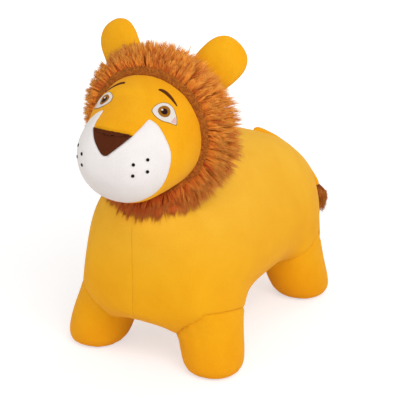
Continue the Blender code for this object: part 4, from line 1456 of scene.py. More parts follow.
    def _patch(self, name: str, place: Matrix, outline: Sequence[Sequence[float]], low: float, high: float,
               node: Optional[str], material: bpy.types.Material,
               hole: Optional[Sequence[Sequence[float]]] = None) -> None:
        """Make one embroidered patch on the head.

        Args:
            name: The piece's name.
            place: The frame on the surface.
            outline: Its edge in that frame, in metres.
            low: Height of its underside over the face.
            high: Height of its top over the face.
            node: The CAD node that it stands for, if any.
            material: The finish.
            hole: The edge of an opening in it, with as many points.
        """
        centre = sum((Vector((*at, 0)) for at in outline), Vector()) / len(outline)
        back = place.to_3x3() @ Vector((0, 0, 1))
        points, faces, places = [], [], []
        shares = (0.0, 0.25, 0.5, 0.7, 0.85, 0.94, 1.0)
        for top in (True, False):
            for row, share in enumerate(shares):
                for number, at in enumerate(outline):
                    inner = centre if hole is None else Vector((*hole[number], 0))
                    flat = inner.lerp(Vector((*at, 0)), share)
                    start = place @ flat + back * 0.02
                    hit, normal, _, _ = self.tree.ray_cast(start, -back)
                    rim = share > 0.99 or (hole is not None and share < 0.01)
                    height = (high - (0.35 * (high - low) if rim else 0.0)) if top else low
                    points.append(hit + normal * height)
                    places.append((flat.x, flat.y))
        count, rows = len(outline), len(shares)
        for layer in range(2):
            base = layer * count * rows
            for row in range(rows - 1):
                for number in range(count):
                    after = (number + 1) % count
                    a, b = base + row * count, base + (row + 1) * count
                    faces.append((a + number, a + after, b + after, b + number))
        below = count * rows
        for number in range(count):
            after = (number + 1) % count
            last = (rows - 1) * count
            faces.append((last + number, last + after, below + last + after, below + last + number))
            if hole is not None:
                faces.append((number, after, below + after, below + number))
        item = add_mesh(name, points, faces)
        sheet = item.data.uv_layers.new(name="UVMap")
        for loop in item.data.loops:
            sheet.data[loop.index].uv = places[loop.vertex_index]
        face_out(item, place.translation - back * 0.01)
        placed(dress(item, material), "trunk", node)

    def _details(self, finishes: Finishes) -> None:
        """Make the embroidered eyes and brows, the whisker dots, and a painted highlight on each pupil.

        Args:
            finishes: The materials.
        """
        for side in Side:
            sign, word = side.value, side.word

            def disc(radius: float, u: float = 0.0, v: float = 0.0,
                     steps: int = 40) -> list[tuple[float, float]]:
                """Return a circle in a patch's frame."""
                return [(u + radius * math.cos(math.tau * step / steps),
                         v + radius * math.sin(math.tau * step / steps)) for step in range(steps)]

            out, ahead, up = self.eye_at
            eye_frame = self._frame(sign * out, ahead, up)
            edge, corner = ([(sign * at.x * self.eye_size, at.y * self.eye_size)
                             for at in spline([(u, v) for u, v in outline], 6, closed=True)]
                            for outline in (self.eye, self.inner_corner))
            rim = [(u * 1.05, v * 1.05) for u, v in edge]
            iris, pupil = disc(self.iris_radius), disc(self.pupil_radius)
            # Painted highlight: a white disc on each pupil, on the same side in both eyes.
            glint = disc(self.painted_glint_radius, -0.0028, 0.0030, 20)
            # Piece, edge, heights of its underside and its top, CAD node, slot, finish and opening.
            for piece, outline, low, high, node, slot, material, hole in (
                ("eye", edge, 0.0002, 0.0010, "eye_white_" + word, "white_plush", finishes.sclera, None),
                ("rim", rim, 0.0002, 0.0009, None, "amber_thread", finishes.olive, edge),
                ("iris", iris, 0.0009, 0.0016, "iris_" + word, "amber_thread", finishes.amber, pupil),
                ("pupil", pupil, 0.0009, 0.0018, "pupil_" + word, "dark_thread", finishes.pupil, None),
                ("glint", glint, 0.0017, 0.0022, None, "white_plush", finishes.sclera, None),
                ("corner", corner, 0.0009, 0.0013, None, "white_plush", finishes.pink, None),
            ):
                self._patch("stitched_%s_%s" % (piece, word), eye_frame, outline, low, high, node,
                            material, hole)
            out, ahead, up = self.brow_at
            place = self._frame(sign * out, ahead, up)
            line = spline([(sign * u * self.eye_size, v * self.eye_size) for u, v in self.brow], 8)
            upper, lower = [], []
            for number, at in enumerate(line):
                share = number / (len(line) - 1)
                half = self.brow_half_width * math.sin(math.pi * min(1.0, share * 0.92 + 0.05)) ** 0.6
                onward = line[min(number + 1, len(line) - 1)] - line[max(number - 1, 0)]
                off = Vector((-onward.y, onward.x)).normalized() * half
                upper.append((at.x + off.x, at.y + off.y))
                lower.append((at.x - off.x, at.y - off.y))
            self._brow("stitched_brow_" + word, place, upper, lower, word, finishes)
            for number, (out, ahead, up) in enumerate(self.whiskers, 1):
                self._patch("stitched_dot_%s_%d" % (word, number), self._frame(sign * out, ahead, up),
                            disc(self.dot_radius, steps=20), 0.0001, 0.0011,
                            "whisker_dot_%s_%d" % (word, number),
                            finishes.dot)

    def _brow(self, name: str, place: Matrix, upper: list, lower: list, word: str,
              finishes: Finishes) -> None:
        """Make one brow, a bent band of satin stitch between two lines.

        Args:
            name: The piece's name.
            place: The frame on the surface.
            upper: Points along its upper edge, in that frame.
            lower: As many points along its lower edge.
            word: The side's name.
            finishes: The materials.
        """
        back = place.to_3x3() @ Vector((0, 0, 1))
        rows, flat = [], []
        for height, lines in ((0.0011, (0.0, 0.3, 0.7, 1.0)), (0.0001, (1.0, 0.7, 0.3, 0.0))):
            for share in lines:
                row = []
                for a, b in zip(upper, lower):
                    at = Vector((*a, 0)).lerp(Vector((*b, 0)), share)
                    hit, normal, _, _ = self.tree.ray_cast(place @ at + back * 0.02, -back)
                    edge = height > 0.001 and share in (0.0, 1.0)
                    row.append(hit + normal * (height - (0.0004 if edge else 0.0)))
                    flat.append((at.x, at.y))
                rows.append(row)
        item = loft(name, rows, closed=True, round_way=False)
        count = len(upper)
        with editing(item) as shape:
            bmesh.ops.holes_fill(shape, edges=shape.edges, sides=0)
        sheet = item.data.uv_layers.new(name="UVMap")
        for loop in item.data.loops:
            sheet.data[loop.index].uv = flat[loop.vertex_index % (8 * count)]
        face_out(item, place.translation - back * 0.01)
        placed(dress(item, finishes.brow), "trunk", "brow_" + word)


@dataclass
class Pile:
    """Strands of long pile as centre lines, widths and tones."""

    lines: np.ndarray
    widths: np.ndarray
    tones: np.ndarray

    def build(self, name: str, material: bpy.types.Material) -> bpy.types.Object:
        """Return all strands as one mesh, with a map from root to tip.

        Args:
            name: The object's name.
            material: The finish.

        Returns:
            The object.
        """
        count, rings, _ = self.lines.shape
        ahead = np.gradient(self.lines, axis=1)
        ahead /= np.linalg.norm(ahead, axis=2, keepdims=True) + TINY
        chance = np.random.default_rng(5).normal(size=(count, 1, 3))
        first = np.cross(ahead, np.repeat(chance, rings, axis=1))
        first /= np.linalg.norm(first, axis=2, keepdims=True) + TINY
        second = np.cross(ahead, first)
        taper = np.linspace(0.0, 1.0, rings)
        shape = (1.0 - taper ** 2.2) * (0.75 + 0.5 * np.sin(np.pi * taper))
        points = np.zeros((count, 3 * (rings - 1) + 1, 3))
        for side in range(3):
            angle = math.tau * side / 3
            offset = first * math.cos(angle) + second * math.sin(angle)
            offset = offset * (self.widths[:, None, None] / 2 * shape[None, :, None])
            points[:, side:3 * (rings - 1):3] = (self.lines + offset)[:, :-1]
        points[:, -1] = self.lines[:, -1]
        faces = [(0, 2, 1)]
        for ring in range(rings - 2):
            for side in range(3):
                after = (side + 1) % 3
                faces.append((3 * ring + side, 3 * ring + after, 3 * ring + 3 + after, 3 * ring + 3 + side))
        tip = 3 * (rings - 1)
        faces += [(tip - 3 + side, tip - 3 + (side + 1) % 3, tip) for side in range(3)]
        per = points.shape[1]
        sizes = np.tile([len(face) for face in faces], count)
        local = np.array([vertex for face in faces for vertex in face])
        loops = (local[None, :] + np.arange(count)[:, None] * per).ravel()
        mesh = bpy.data.meshes.new(name)
        mesh.vertices.add(count * per)
        mesh.vertices.foreach_set("co", points.reshape(-1).astype(np.float32))
        mesh.loops.add(len(loops))
        mesh.loops.foreach_set("vertex_index", loops.astype(np.int32))
        mesh.polygons.add(len(sizes))
        starts = np.concatenate(([0], np.cumsum(sizes)[:-1]))
        mesh.polygons.foreach_set("loop_start", starts.astype(np.int32))
        mesh.update(calc_edges=True)
        ring_of = np.minimum(local // 3, rings - 1)
        along = ring_of / (rings - 1)
        across = (local % 3) * 0.006
        across[local == tip] = 0.006
        sheet = mesh.uv_layers.new(name="OFBake")
        table = np.empty((count, len(local), 2))
        table[:, :, 0] = 0.004 + 0.98 * self.tones[:, None] + across[None, :]
        table[:, :, 1] = 0.002 + 0.996 * along[None, :]
        sheet.data.foreach_set("uv", table.reshape(-1).astype(np.float32))
        mesh.validate()
        item = add_object(name, mesh)
        mesh.materials.append(material)
        mesh.shade_smooth()
        return item


def pushed_out(lines: np.ndarray, tree: BVHTree, margin: float, first: int = 1) -> np.ndarray:
    """Return strands with the points that are inside a form moved onto its surface.

    Args:
        lines: The strands' centre lines.
        tree: The form's faces.
        margin: The least distance from the form.
        first: The first point of a strand that may move.

    Returns:
        The changed lines.
    """
    made = lines.copy()
    for strand in range(made.shape[0]):
        for point in range(first, made.shape[1]):
            place = Vector(made[strand, point])
            near, normal, _, _ = tree.find_nearest(place, 0.06)
            if near is None:
                continue
            height = (place - near).dot(normal)
            if height < margin:
                made[strand, point] = near + normal * margin
    return made


@dataclass
class Mane:
    """The ring of long pile round the face, with the beard below it."""

    band: float = 0.030
    pile: float = 0.048
    crown: float = 0.92
    sweep: float = 0.062
    uneven: float = 0.11
    tousled: float = math.radians(216)
    reach_back: float = 0.74
    strands: int = 30000
    locks: int = 2400
    section: Shares = (
        (0.005, -0.40), (-0.10, 0.16), (-0.02, 0.74), (0.22, 1.08), (0.62, 1.07), (0.73, 0.72), (0.62, 0.25),
        (0.485, -0.40),
    )
    beard: Shares = (
        (0.005, -0.40), (-0.78, 0.06), (-1.02, 0.45), (-0.98, 0.92), (-0.72, 1.02), (-0.30, 0.80),
        (0.30, 0.35), (0.485, -0.40),
    )

    def _tips(self, angle: np.ndarray, share: np.ndarray, reach: np.ndarray, head: Head) -> np.ndarray:
        """Return where strands end, for angles round the face and shares from the front to the back.

        Args:
            angle: Angles round the face.
            share: Places from the ring's front edge, 0, to its back, 1.
            reach: Each strand's share of the full pile.
            head: The head.

        Returns:
            One place for each strand.
        """
        drop = np.maximum(0, -np.sin(angle)) ** 3
        pile = self.pile * (1 - (1 - self.crown) * np.maximum(0, np.sin(angle)) ** 2)
        pile *= 1 + self.uneven * np.cos(angle) + 0.50 * np.exp(-((angle - self.tousled) / 0.26) ** 2)
        share = 0.16 + 0.84 * share
        knots = np.linspace(0, 1, 6)

        def shape(part: int) -> np.ndarray:
            """Return one coordinate of the section, between the sides' form and the beard's.

            Args:
                part: 0 for the way back, 1 for the way out.

            Returns:
                One number for each strand.
            """
            rows = [np.interp(share, knots, [row[part] for row in form[1:7]])
                    for form in (self.section, self.beard)]
            return rows[0] + (rows[1] - rows[0]) * drop

        radius = head.radius + pile * shape(1) * reach
        along = self.sweep * shape(0) * (0.4 + 0.6 * reach)
        places = np.stack([radius * np.cos(angle), along, radius * np.sin(angle)], axis=1)
        return places + np.array(head.centre)

    def build(self, head: Head, body: Body, ears: "Ears", finishes: Finishes) -> None:
        """Make the undercoat and the strands.

        Args:
            head: The head that the ring is sewn to.
            body: The body below it.
            ears: The ears beside it.
            finishes: The materials.
        """
        self._undercoat(head, ears, finishes)
        chance = np.random.default_rng(11)
        count = self.strands
        angle = chance.uniform(0, math.tau, count)
        share = chance.beta(0.85, 1.15, count)
        lock_angle = chance.uniform(0, math.tau, self.locks)
        lock_share = chance.uniform(0, 1, self.locks)
        lock_reach = chance.uniform(0.84, 1.08, self.locks)
        lock_lean = chance.normal(0, 0.05, self.locks)
        lock_tone = chance.uniform(0, 1, self.locks)
        apart = np.abs((angle[:, None] - lock_angle[None, :] + math.pi) % math.tau - math.pi) * 1.9
        own = np.argmin(apart ** 2 + ((share[:, None] - lock_share[None, :]) * 0.9) ** 2, axis=1)
        reach = lock_reach[own] * chance.uniform(0.84, 1.04, count)
        drop = np.maximum(0, -np.sin(angle)) ** 3
        along = self.sweep * (0.02 + (-0.66 - 0.02) * drop) * (1 - share) + self.band * 1.02 * share
        roots = np.empty((count, 3))
        normals = np.empty((count, 3))
        for number in range(count):
            start = head.centre + Vector((0, along[number], 0))
            way = Vector((math.cos(angle[number]), 0, math.sin(angle[number])))
            place, normal, _, _ = head.tree.ray_cast(start, way)
            roots[number] = place - normal * 0.001
            normals[number] = normal
        lean = lock_lean[own]
        tips = self._tips(angle + lean, share, reach, head)
        lock_tips = self._tips(lock_angle + lock_lean, lock_share, lock_reach, head)[own]
        tips += (lock_tips - tips) * chance.uniform(0.05, 0.42, (count, 1))
        tips += chance.normal(0, 0.0014, (count, 3))
        length = np.linalg.norm(tips - roots, axis=1, keepdims=True)
        middle = roots + normals * length * 0.16 + (tips - roots) * 0.40
        middle = middle + chance.normal(0, 0.0008, (count, 3))
        middle[:, 2] += 0.002
        lines = np.empty((count, STRAND_POINTS, 3))
        for ring, t in enumerate(np.linspace(0, 1, STRAND_POINTS)):
            lines[:, ring] = (1 - t) ** 2 * roots + 2 * t * (1 - t) * middle + t * t * tips
        lines[:, -1] += np.array([0, 0.0015, -0.0015])
        lines = ears.parted(lines)
        lines = pushed_out(lines, head.tree, 0.0008)
        low = lines[:, -1, 2] < head.centre.z
        lines[low] = pushed_out(lines[low], body.tree, 0.0012)
        limit = head.centre.y + self.sweep * (self.reach_back - 0.24 * drop)
        kept = ~(low & (lines[..., 1].max(axis=1) > limit))
        widths = chance.uniform(0.0010, 0.0016, count)
        tones = np.clip(0.60 * lock_tone[own] + 0.48 * chance.uniform(0, 1, count), 0, 1)
        # Painted shade: strands low on the ring get lower tones, which the pile's material makes darker and
        # redder.
        tones *= 1 - 0.70 * np.maximum(0, -np.sin(angle)) ** 1.5
        for side in Side:
            for level, way in (("upper", 1), ("lower", -1)):
                chosen = kept & (np.cos(angle) * side.value > 0) & (np.sin(angle) * way > 0)
                name = "mane_pile_%s_%s" % (level, side.word)
                item = Pile(lines[chosen], widths[chosen], tones[chosen]).build(name, finishes.pile)
                placed(item, "trunk")

    def _undercoat(self, head: Head, ears: "Ears", finishes: Finishes) -> None:
        """Make the dense undercoat that fills the ring between the roots.

        Args:
            head: The head that the ring is sewn to.
            ears: The ears beside it.
            finishes: The materials.
        """
        rings = []
        for step in range(144):
            angle = math.tau * step / 144
            drop = max(0, -math.sin(angle)) ** 3
            pile = self.pile * (1 - (1 - self.crown) * max(0, math.sin(angle)) ** 2)
            slim = ears.nearness(angle)
            ring = []
            rows = [tuple(a + (b - a) * drop for a, b in zip(*pair))
                    for pair in zip(self.section, self.beard)]
            for at in spline(rows, 3, closed=True):
                back, out = at.x, at.y
                back = min(back, 0.62 - 0.26 * slim) if back > 0 else back * 0.72
                out = out * 0.34 if out > 0 else out
                radius = head.radius + pile * out
                place = Vector((radius * math.cos(angle), self.sweep * back, radius * math.sin(angle)))
                place += noise.noise_vector(place * 60) * 0.002
                ring.append(head.centre + place)
            rings.append(ring)
        item = face_out(loft("mane_undercoat", rings, closed=True), head.centre)
        placed(dress(item, finishes.backing), "trunk", "mane")


@dataclass
class Ears:
    """The two ears, which are also the handles."""

    width: float = 0.0765
    thickness: float = 0.0365
    length: float = 0.1075
    spread: float = math.radians(40.5)
    lean: float = math.radians(22)
    swing: float = math.radians(10)
    least: float = 0.0015
    sides: int = 64

    def frame_of(self, side: Side) -> Matrix:
        """Return the frame of one ear, with its hinge line along X and the ear along Z.

        Args:
            side: The ear's side.

        Returns:
            The frame.
        """
        joints = {joint["name"]: joint for joint in frame["record"]["behaviour"]["joints"]}
        place = Vector(joints["ear_flex_" + side.word]["pos_m"])
        turn = Matrix.Rotation(side.value * self.spread, 4, "Y") @ Matrix.Rotation(-self.lean, 4, "X")
        return Matrix.Translation(place) @ turn

    def nearness(self, angle: float) -> float:
        """Return from 0 to 1 how near an angle round the face is to an ear.

        Args:
            angle: The angle.

        Returns:
            0 away from the ears, and 1 at one of them.
        """
        best = 0.0
        for side in Side:
            apart = abs((angle - (math.pi / 2 - side.value * self.spread) + math.pi) % math.tau - math.pi)
            best = max(best, min(1.0, max(0.0, 1.6 - apart / 0.42)))
        return best

    def parted(self, lines: np.ndarray) -> np.ndarray:
        """Return strands moved in front of the ears and clear of their swing, where they would touch them.

        Args:
            lines: The strands' centre lines.

        Returns:
            The changed lines.
        """
        made = lines.copy()
        for side in Side:
            local = np.array(self.frame_of(side).inverted())
            back = np.array(self.frame_of(side))
            points = made @ local[:3, :3].T + local[:3, 3]
            share = np.clip(points[..., 2] / (self.length - self.thickness / 2), 0, 1)
            swell = np.where(share > 0.5, (1 - np.clip((share - 0.5) / 0.5, 0, 1) ** 2.5) ** 0.4, 1.0)
            wide = (self.width / 2 + 0.0015) * np.maximum(swell, 0.02)
            thick = (self.thickness / 2 + 0.0015) * np.maximum(swell, 0.02)
            inside = 1 - (points[..., 0] / wide) ** 2
            edge = thick * np.sqrt(np.maximum(inside, 0))
            front = edge + math.tan(self.swing) * np.maximum(points[..., 2], 0)
            hit = (inside > 0) & (points[..., 1] < edge) & (points[..., 1] > -front)
            hit &= (points[..., 2] > -0.018) & (points[..., 2] < self.length - self.thickness / 2)
            points[..., 1] = np.where(hit, -front - 0.0006, points[..., 1])
            made = points @ back[:3, :3].T + back[:3, 3]
        return made

    def form(self, name: str, inset: float, groove: float) -> bpy.types.Object:
        """Return an ear along Z with a round root on its hinge line.

        Args:
            name: The object's name.
            inset: How far it is set in all round.
            groove: Depth of the seam's groove along its edge.

        Returns:
            A closed form.
        """
        length = self.length - self.thickness / 2 - inset
        root = self.thickness / 2 - inset
        sections = []
        for step in range(1, 8):
            turn = math.pi / 2 * step / 8
            sections.append(((0.36 + 0.04 * math.sin(turn)) * self.width - inset, root * math.sin(turn),
                             -root * math.cos(turn)))
        for step in range(1, 40):
            share = math.sin(math.pi / 2 * step / 40)
            if share < 0.5:
                swell = 0.80 + 0.20 * math.sin(math.pi * share)
                thick = self.thickness / 2
            else:
                swell = (1 - ((share - 0.5) / 0.5) ** 2.5) ** 0.4
                thick = self.thickness / 2 * swell ** 0.9
            sections.append((max(self.width / 2 * swell - inset, self.least), max(thick - inset, self.least),
                             length * share))
        rings = []
        for wide, thick, along in sections:
            ring = []
            for step in range(self.sides):
                angle = math.tau * step / self.sides
                x, y = math.cos(angle), math.sin(angle)
                pull = groove * max(0.0, 1 - (min(abs(math.sin(angle)), 1.0) * thick) / 0.0035) ** 2
                place = Vector((x * (wide - pull), y * thick, along))
                place.y += 0.0006 * noise.noise(Vector((x * 3, along * 60, y * 2)))
                ring.append(place)
            rings.append(ring)
        poles = (Vector((0, 0, -root)), Vector((0, 0, length - groove)))
        return face_out(loft(name, rings, poles=poles), Vector((0, 0, length / 2)))

    def build(self, finishes: Finishes) -> None:
        """Make both ears with their fillings.

        Args:
            finishes: The materials.
        """
        for side in Side:
            for name, node, inset, groove, material, slot in (
                ("plush_ear_", "ear_cover_", 0.0, 0.0016, finishes.yellow, "yellow_plush"),
                ("fibre_ear_", "ear_filling_", COVER + GAP, 0.0, finishes.fibre, "white_fibre"),
            ):
                item = self.form(name + side.word, inset, groove)
                if groove:
                    thicken(item)
                item.data.transform(self.frame_of(side))
                placed(dress(item, material), "ear_" + side.word, node + side.word)


@dataclass
class Tail:
    """The tail that lies over the rump, with its tuft."""

    radius: float = 0.0062
    to_rump: float = 0.052
    sideways: float = math.radians(38)
    tuft_radius: float = 0.014
    tuft_length: float = 0.046
    tuft_turn: float = math.radians(78)
    tuft_away: float = 0.0200
    places: Shares = ((14, 1.25), (24, 1.25), (35, 1.25), (46, 1.35), (56, 1.8), (64, 2.6))
    strands: int = 1700

    def build(self, body: Body, finishes: Finishes) -> None:
        """Make the tail's tube and its tuft.

        Args:
            body: The body that the tail is sewn to.
            finishes: The materials.
        """
        y = body.chest_y + body.length - self.to_rump
        hits = [body.tree.ray_cast(Vector((0, y + step, ABOVE_ALL)), Vector((0, 0, -1)))[0]
                for step in (-self.radius, 0, self.radius)]
        slope = hits[2] - hits[0]
        normal = Vector((0, -slope.z, slope.y)).normalized()
        root = hits[1] + normal * GAP
        backward = Vector((1, 0, 0)).cross(normal) * -1
        outward = (backward * math.cos(self.sideways) + Vector((math.sin(self.sideways), 0, 0))).normalized()
        inside = root - normal * (body.back - body.belly) / 2

        def beside(angle: float, away: float) -> Vector:
            """Return the place at an angle round the rump and a distance away from its surface.

            Args:
                angle: The angle, from straight over the tail's root.
                away: The distance from the surface.

            Returns:
                The place.
            """
            direction = normal * math.cos(angle) + outward * math.sin(angle)
            place, facing, _, _ = body.tree.ray_cast(inside, direction)
            return place + facing * away

        points = [root, root + normal * self.radius]
        points += [beside(math.radians(angle), self.radius * away) for angle, away in self.places]
        way = (beside(self.tuft_turn, self.tuft_away) - points[-1]).normalized()
        end = points[-1] + way * self.radius
        line = resampled(spline([*points, end], 8), 90)
        rings = []
        spin, facing = None, None
        for number, place in enumerate(line):
            ahead = (line[min(number + 1, len(line) - 1)] - line[max(number - 1, 0)]).normalized()
            if spin is None:
                spin, facing = ahead.to_track_quat("Z", "Y").to_matrix(), ahead
            spin = facing.rotation_difference(ahead).to_matrix() @ spin
            facing = ahead
            share = number / (len(line) - 1)
            swell = 1 + 0.28 * max(0.0, 1 - share / 0.06) ** 2 - 0.12 * max(0.0, (share - 0.93) / 0.07)
            ring = []
            for step in range(28):
                angle = math.tau * step / 28
                pull = 0.0006 * max(0.0, 1 - abs(step - 21) / 2)
                wave = 1 + 0.03 * noise.noise(Vector((math.cos(angle), math.sin(angle), share * 14)))
                radius = self.radius * swell * wave - pull
                ring.append(place + spin @ Vector((radius * math.cos(angle), radius * math.sin(angle), 0)))
            rings.append(ring)
        tube = face_out(loft("plush_tail", rings, poles=(line[0], line[-1] + way * 0.001)), line[45])
        dress(turned_out(tube), finishes.yellow)
        placed(tube, "tail", "tail_tube")
        self._tuft(end, way, body, finishes)

    def _tuft(self, end: Vector, way: Vector, body: Body, finishes: Finishes) -> None:
        """Make the tuft: a dense core, and strands round it.

        Args:
            end: The tail's end.
            way: The direction that the tuft points in.
            body: The body, which the strands lie on.
            finishes: The materials.
        """
        chance = np.random.default_rng(23)
        turn = np.array(way.to_track_quat("Z", "Y").to_matrix())
        profile = spline(((0.0, 0.36), (0.12, 0.40), (0.28, 0.34), (0.45, 0.20), (0.60, 0.06)), 5)
        rings = [[end + Vector(turn @ (self.tuft_radius * at.y * math.cos(math.tau * step / 24),
                                       self.tuft_radius * at.y * math.sin(math.tau * step / 24),
                                       self.tuft_length * at.x)) for step in range(24)] for at in profile]
        core = loft("tuft_undercoat", rings, poles=(end, end + way * self.tuft_length * 0.62))
        dress(turned_out(core), finishes.backing)
        placed(core, "tail", "tail_tuft")
        count = self.strands
        angle = chance.uniform(0, math.tau, count)
        root_out = np.sqrt(chance.uniform(0, 1, count)) * self.radius * 0.95
        root_up = chance.uniform(-0.001, 0.018, count)
        out = self.tuft_radius * np.sqrt(chance.uniform(0.02, 1, count))
        reach = self.tuft_length * (1.08 - 0.45 * (out / self.tuft_radius) ** 2)
        reach = reach * chance.uniform(0.62, 1.05, count)
        circle = np.stack([np.cos(angle), np.sin(angle), np.zeros(count)], axis=1)
        lines = np.empty((count, STRAND_POINTS, 3))
        for ring, t in enumerate(np.linspace(0, 1, STRAND_POINTS)):
            radius = root_out * (1 - t) + out * np.sin(np.pi * (0.12 + 0.62 * t)) * min(1.0, 2 * t + 0.2)
            place = circle * radius[:, None]
            place[:, 2] = root_up * (1 - t) + reach * t
            lines[:, ring] = place @ turn.T + np.array(end)
            lines[:, ring, 2] -= 0.004 * t * t
        ragged = np.linspace(0.3, 1.6, STRAND_POINTS - 1)[None, :, None]
        lines[:, 1:] += chance.normal(0, 0.0016, (count, STRAND_POINTS - 1, 3)) * ragged
        lines = pushed_out(lines, body.tree, 0.001)
        item = Pile(lines, chance.uniform(0.0007, 0.0012, count), chance.uniform(0, 1, count))
        made = item.build("tail_pile", finishes.tuft)
        placed(made, "tail")


@dataclass
class Inside:
    """The air bladder and the filling of the muzzle."""

    wall: float = 0.0012
    depth_share: float = 0.55
    start_share: float = 0.32
    inset: float = COVER + GAP + 0.0018

    def build(self, head: Head, finishes: Finishes) -> None:
        """Make the bladder and the muzzle's filling.

        Args:
            head: The head's form.
            finishes: The materials.
        """
        coarse = Body(levels=2).form()
        self._shrink(coarse, self.inset)
        ball = head.form(3, 40)
        for vertex in ball.data.vertices:
            if vertex.co.y < head.centre.y:
                vertex.co.y = head.centre.y + (vertex.co.y - head.centre.y) * self.depth_share
        self._shrink(ball, self.inset)
        combined(coarse, ball, "UNION")
        coarse.name = "vinyl_bladder"
        thicken(coarse, self.wall)
        placed(dress(coarse, finishes.vinyl), None, "bladder")
        self._filling(head, ball, finishes)
        remove(ball)

    @staticmethod
    def _shrink(item: bpy.types.Object, depth: float) -> None:
        """Move a form's surface in by a depth.

        Args:
            item: The form.
            depth: How far in; out, where it is below 0.
        """
        normals = [vertex.normal.copy() for vertex in item.data.vertices]
        for vertex, normal in zip(item.data.vertices, normals):
            vertex.co -= normal * depth

    def _filling(self, head: Head, ball: bpy.types.Object, finishes: Finishes) -> None:
        """Make the filling between the bladder and the muzzle's cover.

        Args:
            head: The head's form.
            ball: The bladder's part in the head.
            finishes: The materials.
        """
        item = head.form(4, 56)
        self._shrink(item, COVER + GAP)
        edge = head.centre.y - head.face * self.start_share
        with editing(item) as shape:
            everything = shape.verts[:] + shape.edges[:] + shape.faces[:]
            cut = bmesh.ops.bisect_plane(shape, geom=everything, dist=FINE_CUT, plane_co=(0, edge, 0),
                                         plane_no=(0, 1, 0), clear_outer=True)
            rim = [part for part in cut["geom_cut"] if isinstance(part, bmesh.types.BMEdge)]
            bmesh.ops.holes_fill(shape, edges=rim, sides=0)
            bmesh.ops.recalc_face_normals(shape, faces=shape.faces)
        self._shrink(ball, -GAP)
        combined(item, ball, "DIFFERENCE")
        item.name = "fibre_muzzle"
        placed(dress(item, finishes.fibre), "trunk", "muzzle_filling")


@dataclass
class Closures:
    """The zip and the valve under the belly."""

    ribs: int = 60

    def build(self, finishes: Finishes) -> None:
        """Dress the hard pieces and make the zip's tapes.

        Args:
            finishes: The materials.
        """
        nodes = frame["nodes"]
        for name, item in nodes.items():
            if name.startswith(("zip_teeth", "zip_stop", "zip_slider", "zip_pull")):
                self._finish_node(item, finishes.nickel)
            elif name in ("valve_body", "air_plug"):
                self._finish_node(item, finishes.plastic)
        for side in Side:
            self._tape(side, finishes)

    @staticmethod
    def _finish_node(item: bpy.types.Object, material: bpy.types.Material) -> None:
        """Give every material slot of a CAD node one finish.

        Args:
            item: The node's object.
            material: The finish.
        """
        for slot in item.material_slots:
            slot.material = material
        LOG.info("dressed %s", item.name)

    def _tape(self, side: Side, finishes: Finishes) -> None:
        """Make one of the zip's tapes, woven in ribs.

        Args:
            side: The tape's side.
            finishes: The materials.
        """
        low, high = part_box("zip_tape_" + side.word)
        rings = []
        across = (0.0, 0.1, 0.35, 0.65, 0.9, 1.0)
        for step in range(self.ribs + 1):
            y = low.y + (high.y - low.y) * step / self.ribs
            swell = 0.00006 * (1 if step % 2 else -1)
            top = [Vector((low.x + (high.x - low.x) * share, y, high.z - 0.0001 + swell)) for share in across]
            under = [Vector((low.x + (high.x - low.x) * share, y, low.z + 0.0001 - swell))
                     for share in reversed(across)]
            rings.append(top + under)
        item = loft("woven_tape_" + side.word, rings, ends=True)
        dress(turned_out(item), finishes.tape)
        placed(item, "trunk", "zip_tape_" + side.word)


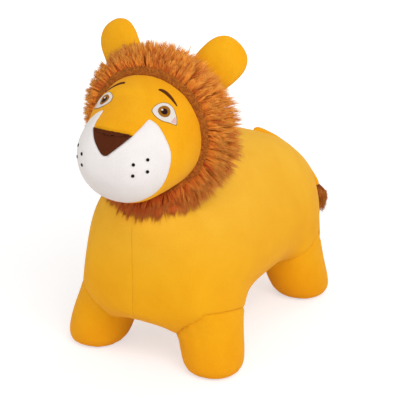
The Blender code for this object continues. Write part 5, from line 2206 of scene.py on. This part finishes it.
@dataclass
class Studio:
    """Camera, lamps, floor and background."""

    azimuth: float = math.radians(29)
    elevation: float = math.radians(22.5)
    distance: float = 2.85
    target: Vector = Vector((0, 0.0184, 0.272))
    pixel: tuple[float, float] = (202.6, 171.0)
    size: float = 400.0

    def build(self) -> None:
        """Make the camera, the floor, the lamps and the world."""
        self._camera()
        self._floor()
        self._lamps()
        self._world()
        bpy.context.scene.view_settings.view_transform = "Standard"

    def _camera(self) -> None:
        """Make the camera at the photograph's viewing angle."""
        data = bpy.data.cameras.new("camera")
        data.lens = 150
        data.sensor_width = 36
        data.shift_x = (self.size / 2 - self.pixel[0]) / self.size
        data.shift_y = (self.pixel[1] - self.size / 2) / self.size
        camera = bpy.data.objects.new("camera", data)
        bpy.context.scene.collection.objects.link(camera)
        flat = math.cos(self.elevation)
        away = Vector((math.sin(self.azimuth) * flat, -math.cos(self.azimuth) * flat,
                       math.sin(self.elevation)))
        camera.location = self.target + away * self.distance
        camera.rotation_mode = "QUATERNION"
        camera.rotation_quaternion = away.to_track_quat("Z", "Y")
        bpy.context.scene.camera = camera

    def _floor(self) -> None:
        """Make the pale floor."""
        half = 6.0
        corners = [(-half, -half, 0), (half, -half, 0), (half, half, 0), (-half, half, 0)]
        item = add_mesh("floor", [Vector(corner) for corner in corners], [(0, 1, 2, 3)])
        shader = Shader("floor", Base_Color=(0.93, 0.93, 0.93), Roughness=0.9, Specular_IOR_Level=0.1)
        glow = shader.add("ShaderNodeEmission", sockets={"Color": (1.0, 1.0, 1.0), "Strength": 1.35})
        place = shader.place()
        away = shader.add("ShaderNodeVectorMath", {"operation": "LENGTH"}, {0: place}, "Value")
        faded = shader.add("ShaderNodeMapRange", {"interpolation_type": "SMOOTHSTEP"},
                           {"Value": away, "From Min": 0.6, "From Max": 1.6, "To Min": 0.45, "To Max": 1.0})
        seen = shader.add("ShaderNodeLightPath", output="Is Camera Ray") * faded
        surface = Value(shader, shader.surface.outputs[0])
        lit = shader.add("ShaderNodeMixShader", sockets={0: seen, 1: surface, 2: glow})
        shader.feed(shader.tree.nodes["Material Output"].inputs["Surface"], lit)
        item.data.materials.append(shader.material)
        item.location.z = -0.0002

    def _lamps(self) -> None:
        """Make the large soft lamps: one above on the right, one in front on the left, one behind."""
        for name, place, size, power in (
            ("key", (1.95, -1.45, 2.5), 1.8, 50.0),
            ("fill", (-2.2, -1.7, 1.3), 2.4, 12.0),
            ("rim", (0.6, 2.6, 2.2), 2.0, 18.0),
        ):
            data = bpy.data.lights.new(name, "AREA")
            data.energy = power
            data.size = size
            lamp = bpy.data.objects.new(name, data)
            bpy.context.scene.collection.objects.link(lamp)
            lamp.location = place
            lamp.rotation_mode = "QUATERNION"
            lamp.rotation_quaternion = (Vector(place) - Vector((0, 0, 0.25))).to_track_quat("Z", "Y")

    def _world(self) -> None:
        """Make an even pale world that the camera sees as white."""
        world = bpy.data.worlds.new("world")
        bpy.context.scene.world = world
        world.use_nodes = True
        tree = world.node_tree
        shade = tree.nodes["Background"]
        shade.inputs["Color"].default_value = (1, 1, 1, 1)
        shade.inputs["Strength"].default_value = 0.55
        white = tree.nodes.new("ShaderNodeBackground")
        white.inputs["Strength"].default_value = 1.0
        white.inputs["Color"].default_value = (1, 1, 1, 1)
        rays = tree.nodes.new("ShaderNodeLightPath")
        seen = tree.nodes.new("ShaderNodeMath")
        seen.operation = "MAXIMUM"
        tree.links.new(rays.outputs["Is Camera Ray"], seen.inputs[0])
        tree.links.new(rays.outputs["Is Glossy Ray"], seen.inputs[1])
        mix = tree.nodes.new("ShaderNodeMixShader")
        tree.links.new(seen.outputs[0], mix.inputs[0])
        tree.links.new(shade.outputs[0], mix.inputs[1])
        tree.links.new(white.outputs[0], mix.inputs[2])
        tree.links.new(mix.outputs[0], tree.nodes["World Output"].inputs["Surface"])


def main() -> None:
    """Build the studio and the lion."""
    logging.basicConfig(level=logging.INFO, format="%(message)s")
    Studio().build()
    finishes = Finishes()
    body, head, ears = Body(), Head(), Ears()
    head.prepare()
    body.build(head, finishes)
    head.build(body, finishes)
    ears.build(finishes)
    Mane().build(head, body, ears, finishes)
    Tail().build(body, finishes)
    Inside().build(head, finishes)
    Closures().build(finishes)
    remove(body.surface, head.surface)


if __name__ == "__main__":
    main()
